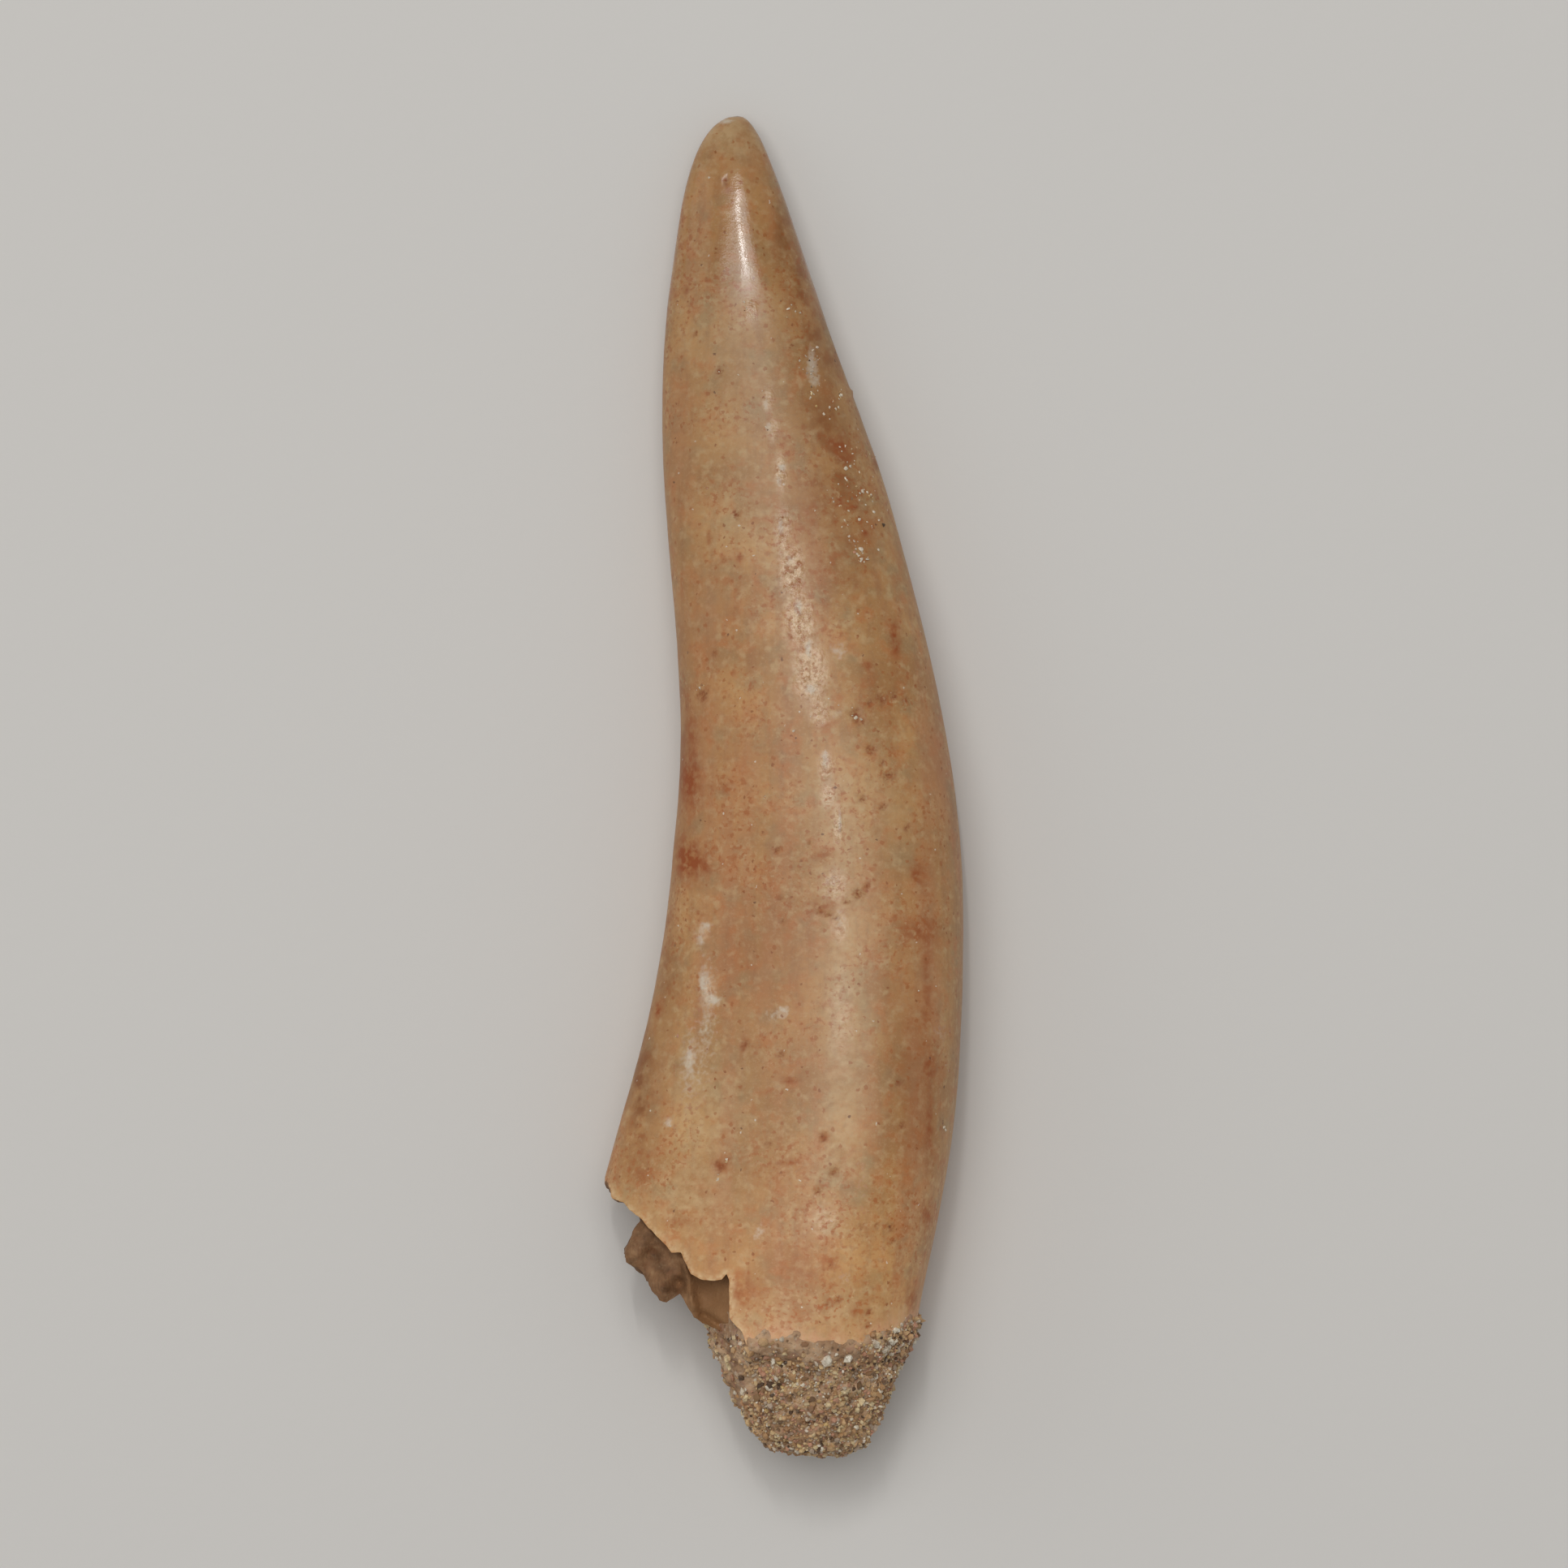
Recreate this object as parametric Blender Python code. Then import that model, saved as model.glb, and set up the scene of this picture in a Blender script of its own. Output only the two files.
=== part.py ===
"""A fossil fang of a predatory fish, lying on its flatter side.

Two solids make it up. The fang is a curved, tapering tooth. Its smooth wall has broken
away at the lower left, where the rougher inside of the tooth shows a little below it.
The matrix plug is the sandstone that fills the pulp cavity and sticks out of the base.

X runs across the tooth, with the hollow side at -X. Y runs along it, with the point at
+Y. Z is up, and the flat of the lower face rests on Z = 0. The origin is the middle of
the footprint. Lengths are millimetres up to the point where a mesh is made, and "drop"
is the distance below the point of the tooth, along the tooth.
"""

import math

import bmesh
import bpy
import numpy as np
from mathutils import Vector, noise

MM = 0.001

LENGTH = 45.0
TIP_Y = LENGTH / 2

# Outlines of the unbroken tooth, each as (drop, x).
HOLLOW_SIDE = (
    (0.0, -1.55), (0.35, -2.33), (1.9, -3.15), (4.4, -3.64), (7.7, -4.02), (12.0, -4.03),
    (16.4, -3.70), (20.7, -3.46), (25.1, -3.72), (29.5, -4.35), (35.9, -6.04), (45.0, -8.2),
)
BULGED_SIDE = (
    (0.0, -1.55), (0.35, -1.05), (1.9, -0.31), (4.4, 0.58), (7.7, 1.68), (12.0, 3.23),
    (16.4, 4.47), (20.7, 5.42), (25.1, 5.98), (27.3, 6.04), (30.6, 5.96), (34.9, 5.58),
    (38.7, 4.85), (40.9, 4.40), (45.0, 3.55),
)
# How far the two faces stand from the plane that holds both edges, each as (drop, mm).
UPPER_RISE = (
    (0.0, 0.0), (1.9, 0.85), (4.4, 1.35), (7.7, 1.90), (12.0, 2.50), (16.4, 2.95),
    (20.7, 3.25), (26.0, 3.50), (30.6, 3.70), (36.0, 3.85), (45.0, 3.70),
)
LOWER_DEPTH = (
    (0.0, 0.0), (1.9, 0.60), (4.4, 0.95), (7.7, 1.30), (12.0, 1.75), (16.4, 2.10),
    (20.7, 2.40), (26.0, 2.70), (30.6, 2.90), (36.0, 3.10), (45.0, 3.00),
)
# The lower face is flat across its middle, and its point curves up off the surface.
LOWER_FLAT_SHARE = 0.32
TIP_LIFT = 0.85
LIFT_START = 14.0
# How far the crest of the upper face leans to the bulged side, each as (drop, share).
CREST_SKEW = (
    (0.0, 0.12), (4.4, 0.14), (10.0, 0.12), (15.5, 0.05), (20.0, 0.07), (24.5, 0.17),
    (29.0, 0.28), (36.0, 0.40), (45.0, 0.42),
)
ROUNDNESS_TIP = 1.0
ROUNDNESS_BASE = 0.82
BODY_END = 43.6

# The broken edge of the tooth's smooth wall on the upper face, as (x, drop).
WALL_BREAK = (
    (-6.04, 35.90), (-5.50, 36.61), (-4.84, 37.00), (-4.35, 37.54), (-3.94, 37.92),
    (-3.75, 38.17), (-3.42, 38.17), (-3.31, 38.39), (-3.10, 38.88), (-2.77, 39.04),
    (-2.44, 39.10), (-2.06, 39.07), (-1.90, 38.86), (-1.81, 39.07), (-1.81, 40.32),
    (-1.38, 40.79), (-1.19, 41.30),
)
# The edge where the whole tooth ends, as (x, drop): the lost corner at the left, then the
# crease and the hem under which the sandstone comes out.
LOST_CORNER = (
    (-6.10, 35.85), (-5.98, 36.12), (-5.80, 36.34), (-5.55, 36.58), (-5.17, 36.80),
    (-4.90, 37.02), (-4.84, 37.18), (-5.03, 37.43), (-5.25, 37.87), (-5.39, 38.28),
    (-5.30, 38.55), (-5.03, 38.77), (-4.60, 39.20), (-4.43, 39.50), (-4.19, 39.83),
    (-3.97, 39.89), (-3.70, 39.72), (-3.50, 39.59), (-3.31, 39.91), (-2.99, 40.35),
)
BASE_HEM = (
    (-2.71, 40.57), (-1.73, 40.95), (-1.19, 41.30), (-0.29, 41.09), (0.67, 41.25),
    (1.30, 41.39), (2.33, 41.30), (3.01, 41.03), (3.70, 40.76), (4.60, 40.55),
)
# The break is upright down to the widest level of the tooth, and leans in below it.
WIDEST_LEVEL = 3.1
FRACTURE_SLANT = 0.60
FRACTURE_ROUGHNESS = 0.30
FRACTURE_LEVELS = (9.0, 5.4, 4.6, 3.9, 3.2, 2.5, 1.8, 1.1, 0.4, -1.0)
ROUGH_BELOW = 5.4
ROUGHNESS_SIZE = 0.9
CORNER_END_X = -2.2
WALL_LEVELS = (9.0, 6.4, 4.9, 1.0)
WALL_EDGE_SLOPE = 0.20

# The exposed inside: a plane that falls to the left, with lumps (x, drop, height, reach).
CORE_LEVEL = 5.35
CORE_MIDDLE_X = -2.6
CORE_SLOPE = 0.33
CORE_LUMPS = (
    (-4.95, 38.15, 0.42, 0.50), (-4.10, 39.35, 0.40, 0.42), (-4.42, 38.25, -0.28, 0.30),
    (-3.48, 39.25, -0.45, 0.24), (-2.50, 39.70, -0.35, 0.60), (-4.45, 37.60, 0.18, 0.28),
)
CORE_RIDGE = ((-3.33, 38.45), (-3.02, 39.95), 0.36, 0.17)
CORE_CREASE = ((-2.70, 40.30), (-1.20, 41.20), -0.35, 0.16)

# The pulp cavity, an oval cone, and the sandstone tongue inside it.
CAVITY_X = 1.35
CAVITY_Z = 3.55
CAVITY_HALF_WIDTH = 2.2
CAVITY_HALF_HEIGHT = 1.75
CAVITY_TOP = 33.6
CAVITY_RING_SHARES = (0.0, 0.3, 0.6, 0.85, 0.97)
GAP = 0.30
TONGUE_START = 1.1
TONGUE_POINT = 0.7

# The sandstone that shows, as (drop, left x, right x, top z, bottom z).
PLUG_STATIONS = (
    (40.9, -2.52, 4.40, 6.70, 0.30), (41.5, -2.42, 4.18, 6.50, 0.42),
    (42.4, -1.98, 3.75, 6.20, 0.70), (43.3, -1.60, 3.40, 5.85, 1.10),
    (44.0, -1.18, 3.16, 5.45, 1.50), (44.6, -0.70, 2.78, 4.95, 1.95),
)
PLUG_END = (45.0, 1.45, 3.45)
PLUG_END_SHARES = (0.25, 0.55, 0.82)
PLUG_SHOULDER_SHARES = (0.92, 0.5)
PLUG_CORNER_POWER = 0.85
PLUG_ROUGHNESS = 0.16
PLUG_LUMP_SIZE = 0.45

BODY_SIDES = 52
BODY_RINGS = 46
RING_SPREAD = 1.35
CAVITY_SIDES = 24
PLUG_SIDES = 56
PLUG_RINGS = 16
TONGUE_RINGS = 4
FLOOR_CELLS = 22

FANG_TAN = (0.42, 0.25, 0.14, 1.0)
SAND_BUFF = (0.36, 0.25, 0.16, 1.0)


def clear_scene():
    for obj in list(bpy.data.objects):
        bpy.data.objects.remove(obj, do_unlink=True)


def new_collection(name):
    collection = bpy.data.collections.new(name)
    bpy.context.scene.collection.children.link(collection)
    return collection


def new_material(name, colour, roughness):
    material = bpy.data.materials.new(name)
    material.use_nodes = True
    shader = material.node_tree.nodes["Principled BSDF"]
    shader.inputs["Base Color"].default_value = colour
    shader.inputs["Roughness"].default_value = roughness
    shader.inputs["Metallic"].default_value = 0.0
    return material


def natural_spline(points):
    """A smooth curve through (drop, value) points, as a function of drop.

    It runs over the square root of the drop, so that a value which grows from nothing at
    the point of the tooth gives a rounded point.
    """
    knots = np.sqrt([p[0] for p in points])
    values = np.array([p[1] for p in points])
    steps = np.diff(knots)
    slopes = np.diff(values) / steps
    count = len(points)
    system = np.eye(count)
    right = np.zeros(count)
    for i in range(1, count - 1):
        system[i, i - 1 : i + 2] = steps[i - 1], 2 * (steps[i - 1] + steps[i]), steps[i]
        right[i] = 6 * (slopes[i] - slopes[i - 1])
    bends = np.linalg.solve(system, right)

    def value_at(drop):
        t = math.sqrt(max(drop, 0.0))
        i = int(np.clip(np.searchsorted(knots, t) - 1, 0, count - 2))
        h = steps[i]
        before, after = (knots[i + 1] - t) / h, (t - knots[i]) / h
        bend = (before**3 - before) * bends[i] + (after**3 - after) * bends[i + 1]
        return float(before * values[i] + after * values[i + 1] + bend * h * h / 6)

    return value_at


hollow_x = natural_spline(HOLLOW_SIDE)
bulged_x = natural_spline(BULGED_SIDE)
upper_rise = natural_spline(UPPER_RISE)
lower_depth = natural_spline(LOWER_DEPTH)
crest_skew = natural_spline(CREST_SKEW)


def between(tip_value, base_value, drop):
    """Goes evenly from the value at the point to the value at the base."""
    return tip_value + (base_value - tip_value) * min(drop / LENGTH, 1.0)


def crest(across, skew, roundness):
    """Height of the upper face, from 0 at the edges to 1 at its crest."""
    peak = (math.sqrt(1 + 8 * skew * skew) - 1) / (4 * skew)
    highest = math.sqrt(1 - peak * peak) * (1 + skew * peak)
    return (1 - across * across) ** (roundness / 2) * (1 + skew * across) / highest


def body_point(drop, turn):
    """A point of the unbroken tooth, at an angle round its section."""
    left, right = hollow_x(drop), bulged_x(drop)
    across = math.cos(turn)
    x = (left + right) / 2 + (right - left) / 2 * across
    edge_z = lower_depth(drop) + TIP_LIFT * max(1 - drop / LIFT_START, 0.0) ** 2
    roundness = between(ROUNDNESS_TIP, ROUNDNESS_BASE, drop)
    if math.sin(turn) >= 0:
        z = edge_z + upper_rise(drop) * crest(across, crest_skew(drop), roundness)
    else:
        past_flat = max(abs(across) - LOWER_FLAT_SHARE, 0.0) / (1 - LOWER_FLAT_SHARE)
        z = edge_z - lower_depth(drop) * (1 - past_flat * past_flat) ** (roundness / 2)
    return Vector((x, TIP_Y - drop, z))


def mesh_object(name, bm, collection, material=None):
    """Turns millimetres into metres and links the finished mesh."""
    bmesh.ops.scale(bm, vec=(MM, MM, MM), verts=bm.verts)
    bmesh.ops.recalc_face_normals(bm, faces=bm.faces)
    mesh = bpy.data.meshes.new(name)
    bm.to_mesh(mesh)
    bm.free()
    mesh.shade_smooth()
    mesh.set_sharp_from_angle(angle=math.radians(35))
    obj = bpy.data.objects.new(name, mesh)
    collection.objects.link(obj)
    if material:
        mesh.materials.append(material)
    return obj


def loft(rings, first_pole=None, last_pole=None):
    """Skins a row of rings that have the same number of points, and closes both ends."""
    bm = bmesh.new()
    rows = [[bm.verts.new(p) for p in ring] for ring in rings]
    sides = len(rows[0])
    for upper, lower in zip(rows, rows[1:]):
        for i in range(sides):
            j = (i + 1) % sides
            bm.faces.new((upper[i], upper[j], lower[j], lower[i]))
    for row, pole in ((rows[0], first_pole), (rows[-1], last_pole)):
        if pole is None:
            bm.faces.new(row)
            continue
        apex = bm.verts.new(pole)
        for i in range(sides):
            bm.faces.new((row[i], row[(i + 1) % sides], apex))
    return bm


def tooth_body(collection, material):
    """The unbroken tooth, closed at the point and run on past the base."""
    rings = []
    for row in range(1, BODY_RINGS + 1):
        drop = BODY_END * (row / BODY_RINGS) ** RING_SPREAD
        turns = [2 * math.pi * (i + 0.5) / BODY_SIDES for i in range(BODY_SIDES)]
        rings.append([body_point(drop, turn) for turn in turns])
    bm = loft(rings, first_pole=body_point(0.0, 0.0))
    return mesh_object("fang", bm, collection, material)


def near_line(x, drop, line):
    """A rounded ridge or groove that follows a straight line, fading past its ends."""
    (x0, d0), (x1, d1), height, reach = line
    run = (x1 - x0) ** 2 + (d1 - d0) ** 2
    along = ((x - x0) * (x1 - x0) + (drop - d0) * (d1 - d0)) / run
    along = min(max(along, 0.0), 1.0)
    dx, dd = x - x0 - along * (x1 - x0), drop - d0 - along * (d1 - d0)
    return height * math.exp(-(dx * dx + dd * dd) / (reach * reach))


def core_height(x, drop):
    """Height of the tooth's exposed inside, where the smooth wall is lost."""
    z = CORE_LEVEL + CORE_SLOPE * (x - CORE_MIDDLE_X)
    for lump_x, lump_drop, height, reach in CORE_LUMPS:
        away = (x - lump_x) ** 2 + (drop - lump_drop) ** 2
        z += height * math.exp(-away / (reach * reach))
    z += near_line(x, drop, CORE_RIDGE) + near_line(x, drop, CORE_CREASE)
    return z


def prism(outline, levels, shifted):
    """An outline of (x, drop) points drawn through several levels, and moved at each by
    what shifted(x, drop, z) says."""
    rings = []
    for z in levels:
        ring = []
        for x, drop in outline:
            moved_x, moved_drop = shifted(x, drop, z)
            ring.append(Vector((moved_x, TIP_Y - moved_drop, z)))
        rings.append(ring)
    return loft(rings)


def ragged_break(x, drop, z):
    """The break through the lost corner leans in under the tooth and is rough."""
    on_the_break = x > -7.0 and drop < 42.0
    if not on_the_break:
        return x, drop
    lost = min(max(CORNER_END_X - x, 0.0), 1.0)
    lean = max(1 - z / WIDEST_LEVEL, 0.0)
    depth = min(max(ROUGH_BELOW - z, 0.0), 1.0)
    rough = FRACTURE_ROUGHNESS * abs(noise.noise_vector(Vector((x, drop, z)) / ROUGHNESS_SIZE).x)
    pull = lost * (FRACTURE_SLANT * lean + rough * depth)
    return x + pull, drop - 0.7 * pull


def sloping_wall_edge(x, drop, z):
    """The upright edge of the broken wall slopes out towards its foot."""
    upright = -2.0 < x < -1.7 and z < 5.0
    return (x - WALL_EDGE_SLOPE, drop) if upright else (x, drop)


def lost_side_cutter(collection):
    """Takes away all of the tooth past its broken end."""
    outside = ((9.0, 40.3), (9.0, 48.0), (-10.0, 48.0), (-10.0, 35.6))
    bm = prism(LOST_CORNER + BASE_HEM + outside, FRACTURE_LEVELS, ragged_break)
    return mesh_object("lost_side_cutter", bm, collection)


def lost_wall_cutter(collection):
    """Takes the smooth wall off down to the exposed inside."""
    outside = ((-1.0, 44.0), (-10.0, 44.0), (-10.0, 35.6))
    bm = prism(WALL_BREAK + outside, WALL_LEVELS, sloping_wall_edge)
    return mesh_object("lost_wall_cutter", bm, collection)


def exposed_inside_block(collection):
    """Everything above the exposed inside. Its lower face is the lumpy surface."""
    x_low, x_high, drop_low, drop_high, top = -11.0, 0.0, 35.0, 45.0, 10.0
    lumps_low, lumps_high, lumps_top, lumps_end = -6.2, -0.8, 36.4, 42.0
    xs = [x_low, *np.linspace(lumps_low, lumps_high, FLOOR_CELLS), x_high]
    drops = [drop_low, *np.linspace(lumps_top, lumps_end, FLOOR_CELLS), drop_high]
    bm = bmesh.new()
    grid = [[bm.verts.new((x, TIP_Y - d, core_height(x, d))) for x in xs] for d in drops]
    for upper, lower in zip(grid, grid[1:]):
        for i in range(len(xs) - 1):
            bm.faces.new((upper[i], upper[i + 1], lower[i + 1], lower[i]))
    rim = [e for e in bm.edges if e.is_boundary]
    raised = bmesh.ops.extrude_edge_only(bm, edges=rim)["geom"]
    for vert in raised:
        if isinstance(vert, bmesh.types.BMVert):
            vert.co.z = top
    bmesh.ops.holes_fill(bm, edges=[e for e in bm.edges if e.is_boundary], sides=0)
    return mesh_object("exposed_inside_block", bm, collection)


def oval_ring(x, z, half_width, half_height, drop, sides):
    turns = [2 * math.pi * (i + 0.5) / sides for i in range(sides)]
    return [
        Vector((x + half_width * math.cos(t), TIP_Y - drop, z + half_height * math.sin(t)))
        for t in turns
    ]


def cavity_size(drop, shrink=0.0):
    """Half width and half height of the pulp cavity, or of the tongue inside it."""
    open_share = math.sqrt(max(1 - ((BODY_END - drop) / (BODY_END - CAVITY_TOP)) ** 2, 0.0))
    return (CAVITY_HALF_WIDTH * open_share - shrink, CAVITY_HALF_HEIGHT * open_share - shrink)


def pulp_cavity_cutter(collection):
    """The oval hollow that runs up into the base of the tooth."""
    rings = []
    for share in CAVITY_RING_SHARES:
        drop = BODY_END - share * (BODY_END - CAVITY_TOP)
        half_width, half_height = cavity_size(drop)
        rings.append(oval_ring(CAVITY_X, CAVITY_Z, half_width, half_height, drop, CAVITY_SIDES))
    apex = Vector((CAVITY_X, TIP_Y - CAVITY_TOP, CAVITY_Z))
    return mesh_object("pulp_cavity_cutter", loft(rings, last_pole=apex), collection)


def cut(obj, cutter, operation="DIFFERENCE"):
    modifier = obj.modifiers.new(cutter.name, "BOOLEAN")
    modifier.solver = "EXACT"
    modifier.operation = operation
    modifier.object = cutter
    cutter.hide_render = True
    cutter.display_type = "WIRE"


def hem_drop(x):
    """Where the tooth ends above the sandstone, for a place across it."""
    return float(np.interp(x, [p[0] for p in BASE_HEM], [p[1] for p in BASE_HEM]))


def plug_section(drop):
    """Middle and half sizes of the sandstone that shows, at a drop."""
    stations = np.array(PLUG_STATIONS)
    left, right, top, bottom = (
        float(np.interp(drop, stations[:, 0], stations[:, column])) for column in (1, 2, 3, 4)
    )
    return (left + right) / 2, (top + bottom) / 2, (right - left) / 2, (top - bottom) / 2


def plug_point(share, turn):
    """A point of the sandstone that shows, from the hem at 0 to its blunt end at 1."""
    first, last = PLUG_STATIONS[0][0], PLUG_STATIONS[-1][0]
    x, _, half_width, _ = plug_section(first + share * (last - first))
    start = hem_drop(x + half_width * math.cos(turn)) + GAP
    drop = start + share * (last - start)
    x, z, half_width, half_height = plug_section(drop)
    across = math.copysign(abs(math.cos(turn)) ** PLUG_CORNER_POWER, math.cos(turn))
    up = math.copysign(abs(math.sin(turn)) ** PLUG_CORNER_POWER, math.sin(turn))
    point = Vector((x + half_width * across, TIP_Y - drop, z + half_height * up))
    lumps = noise.fractal(point / PLUG_LUMP_SIZE, 1.0, 2.0, 3)
    outward = Vector((across, 0.0, up)).normalized()
    return point + outward * (PLUG_ROUGHNESS * lumps * min(1.0, 4.0 * share))


def matrix_plug(collection, material):
    """The sandstone: a tongue in the pulp cavity, a shoulder under the hem and a lump."""
    turns = [2 * math.pi * (i + 0.5) / PLUG_SIDES for i in range(PLUG_SIDES)]
    rings = []
    tongue_top, tongue_end = CAVITY_TOP + TONGUE_START, hem_drop(CAVITY_X)
    for row in range(1, TONGUE_RINGS + 1):
        drop = tongue_top + (tongue_end - tongue_top) * row / TONGUE_RINGS
        sizes = cavity_size(drop, shrink=GAP)
        rings.append(oval_ring(CAVITY_X, CAVITY_Z, *sizes, drop, PLUG_SIDES))
    for share in PLUG_SHOULDER_SHARES:
        ring = []
        for tongue, turn in zip(rings[TONGUE_RINGS - 1], turns):
            outer = plug_point(0.0, turn)
            point = outer.lerp(tongue, share)
            point.y = TIP_Y - hem_drop(point.x) - GAP
            ring.append(point)
        rings.append(ring)
    for row in range(PLUG_RINGS + 1):
        rings.append([plug_point(row / PLUG_RINGS, turn) for turn in turns])
    end_drop, end_x, end_z = PLUG_END
    end = Vector((end_x, TIP_Y - end_drop, end_z))
    rim = rings[-1]
    for share in PLUG_END_SHARES:
        fall = math.sqrt(1 - (1 - share) ** 2)
        ring = [p.lerp(end, share) for p in rim]
        for point, start in zip(ring, rim):
            point.y = start.y + (end.y - start.y) * fall
        rings.append(ring)
    top = Vector((CAVITY_X, TIP_Y - CAVITY_TOP - TONGUE_POINT, CAVITY_Z))
    bm = loft(rings, first_pole=top, last_pole=end)
    return mesh_object("matrix_plug", bm, collection, material)


def main():
    clear_scene()
    parts = new_collection("fossil_fang")
    cutters = new_collection("cutters")
    enamel = new_material("fossil enamel", FANG_TAN, 0.4)
    sandstone = new_material("phosphate sandstone", SAND_BUFF, 0.9)

    fang = tooth_body(parts, enamel)
    wall_cutter = lost_wall_cutter(cutters)
    cut(wall_cutter, exposed_inside_block(cutters), "INTERSECT")
    cut(fang, wall_cutter)
    cut(fang, lost_side_cutter(cutters))
    cut(fang, pulp_cavity_cutter(cutters))
    matrix_plug(parts, sandstone)


main()
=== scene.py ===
"""A fossil fang of a predatory fish, lying on a pale studio floor.

The fang is one closed mesh: its glossy outer wall, the broken corner at the lower left
where the brown inside shows, and the hollow for the pulp. The plug is the sandstone in that
hollow, with its sand grains as a mesh of their own, and one more mesh holds the grains that
are stuck on the enamel and over its hem.

Shapes are worked out in millimetres and turned into metres when a mesh is made. "Drop" is
the distance below the point of the fang, along the fang.
"""

import math

import bmesh
import bpy
import numpy as np
from bpy.props import FloatProperty, FloatVectorProperty, IntProperty, PointerProperty
from bpy.types import Operator, Panel, PropertyGroup
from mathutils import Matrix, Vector, noise
from mathutils.bvhtree import BVHTree


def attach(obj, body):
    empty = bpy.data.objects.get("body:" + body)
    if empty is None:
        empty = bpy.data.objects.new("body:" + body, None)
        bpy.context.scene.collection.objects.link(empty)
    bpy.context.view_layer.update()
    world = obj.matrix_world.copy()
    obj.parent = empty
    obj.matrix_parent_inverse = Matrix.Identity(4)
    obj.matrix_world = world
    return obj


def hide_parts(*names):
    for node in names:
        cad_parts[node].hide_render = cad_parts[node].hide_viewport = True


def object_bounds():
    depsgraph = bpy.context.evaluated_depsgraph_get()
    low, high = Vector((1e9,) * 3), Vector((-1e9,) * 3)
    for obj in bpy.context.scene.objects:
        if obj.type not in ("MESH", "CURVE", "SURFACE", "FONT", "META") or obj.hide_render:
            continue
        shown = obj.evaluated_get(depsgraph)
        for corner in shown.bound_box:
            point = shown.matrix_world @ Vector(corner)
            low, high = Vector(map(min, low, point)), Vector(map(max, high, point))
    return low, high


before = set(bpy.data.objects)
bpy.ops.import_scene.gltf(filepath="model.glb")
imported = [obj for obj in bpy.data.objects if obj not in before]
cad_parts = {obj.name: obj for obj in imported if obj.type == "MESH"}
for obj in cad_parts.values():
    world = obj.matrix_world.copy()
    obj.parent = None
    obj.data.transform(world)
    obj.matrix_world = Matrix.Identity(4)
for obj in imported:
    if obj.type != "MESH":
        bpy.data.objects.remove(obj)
CAD_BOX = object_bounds()

bl_info = {
    "name": "Fossil fang",
    "version": (1, 0, 0),
    "blender": (4, 5, 0),
    "location": "View3D > Sidebar > Fossil fang",
    "description": "Builds a fossil fish fang with its sandstone plug on a studio floor",
    "category": "Add Mesh",
}

MM = 0.001

TIP_Y = CAD_BOX[1].y / MM
LENGTH = (CAD_BOX[1].y - CAD_BOX[0].y) / MM

# Outlines of the unbroken tooth, each as (drop, x).
HOLLOW_SIDE = (
    (0.0, -1.55), (0.35, -2.33), (1.9, -3.15), (4.4, -3.64), (7.7, -4.02), (12.0, -4.03),
    (16.4, -3.70), (20.7, -3.46), (25.1, -3.72), (29.5, -4.35), (35.9, -6.04), (45.0, -8.2),
)
BULGED_SIDE = (
    (0.0, -1.55), (0.35, -1.05), (1.9, -0.31), (4.4, 0.58), (7.7, 1.68), (12.0, 3.23),
    (16.4, 4.47), (20.7, 5.42), (25.1, 5.98), (27.3, 6.04), (30.6, 5.96), (34.9, 5.58),
    (38.7, 4.85), (40.9, 4.40), (45.0, 3.55),
)
# How far the two faces stand from the plane that holds both edges, each as (drop, mm).
UPPER_RISE = (
    (0.0, 0.0), (1.9, 0.85), (4.4, 1.35), (7.7, 1.90), (12.0, 2.50), (16.4, 2.95),
    (20.7, 3.25), (26.0, 3.50), (30.6, 3.70), (36.0, 3.85), (45.0, 3.70),
)
LOWER_DEPTH = (
    (0.0, 0.0), (1.9, 0.60), (4.4, 0.95), (7.7, 1.30), (12.0, 1.75), (16.4, 2.10),
    (20.7, 2.40), (26.0, 2.70), (30.6, 2.90), (36.0, 3.10), (45.0, 3.00),
)
LOWER_FLAT_SHARE = 0.32
TIP_LIFT = 0.85
LIFT_START = 14.0
# How far the crest of the upper face leans to the bulged side, each as (drop, share).
CREST_SKEW = (
    (0.0, 0.12), (4.4, 0.14), (10.0, 0.12), (15.5, 0.05), (20.0, 0.07), (24.5, 0.17),
    (29.0, 0.28), (36.0, 0.40), (45.0, 0.42),
)
ROUNDNESS = (1.0, 0.82)
BODY_END = 43.6

# The broken edge of the smooth wall, as (x, drop), and the edge where the tooth ends.
WALL_BREAK = (
    (-6.04, 35.90), (-5.50, 36.61), (-4.84, 37.00), (-4.35, 37.54), (-3.94, 37.92),
    (-3.75, 38.17), (-3.42, 38.17), (-3.31, 38.39), (-3.10, 38.88), (-2.77, 39.04),
    (-2.44, 39.10), (-2.06, 39.07), (-1.90, 38.86), (-1.81, 39.07), (-1.81, 40.32),
    (-1.38, 40.79), (-1.19, 41.30),
)
LOST_CORNER = (
    (-6.10, 35.85), (-5.98, 36.12), (-5.80, 36.34), (-5.55, 36.58), (-5.17, 36.80),
    (-4.90, 37.02), (-4.84, 37.18), (-5.03, 37.43), (-5.25, 37.87), (-5.39, 38.28),
    (-5.30, 38.55), (-5.03, 38.77), (-4.60, 39.20), (-4.43, 39.50), (-4.19, 39.83),
    (-3.97, 39.89), (-3.70, 39.72), (-3.50, 39.59), (-3.31, 39.91), (-2.99, 40.35),
)
BASE_HEM = (
    (-2.71, 40.57), (-1.73, 40.95), (-1.19, 41.30), (-0.29, 41.09), (0.67, 41.25),
    (1.30, 41.39), (2.33, 41.30), (3.01, 41.03), (3.70, 40.76), (4.60, 40.55),
)
WIDEST_LEVEL = 3.1
FRACTURE_SLANT = 0.60
FRACTURE_ROUGHNESS = 0.30
ROUGH_BELOW = 5.4
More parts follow.
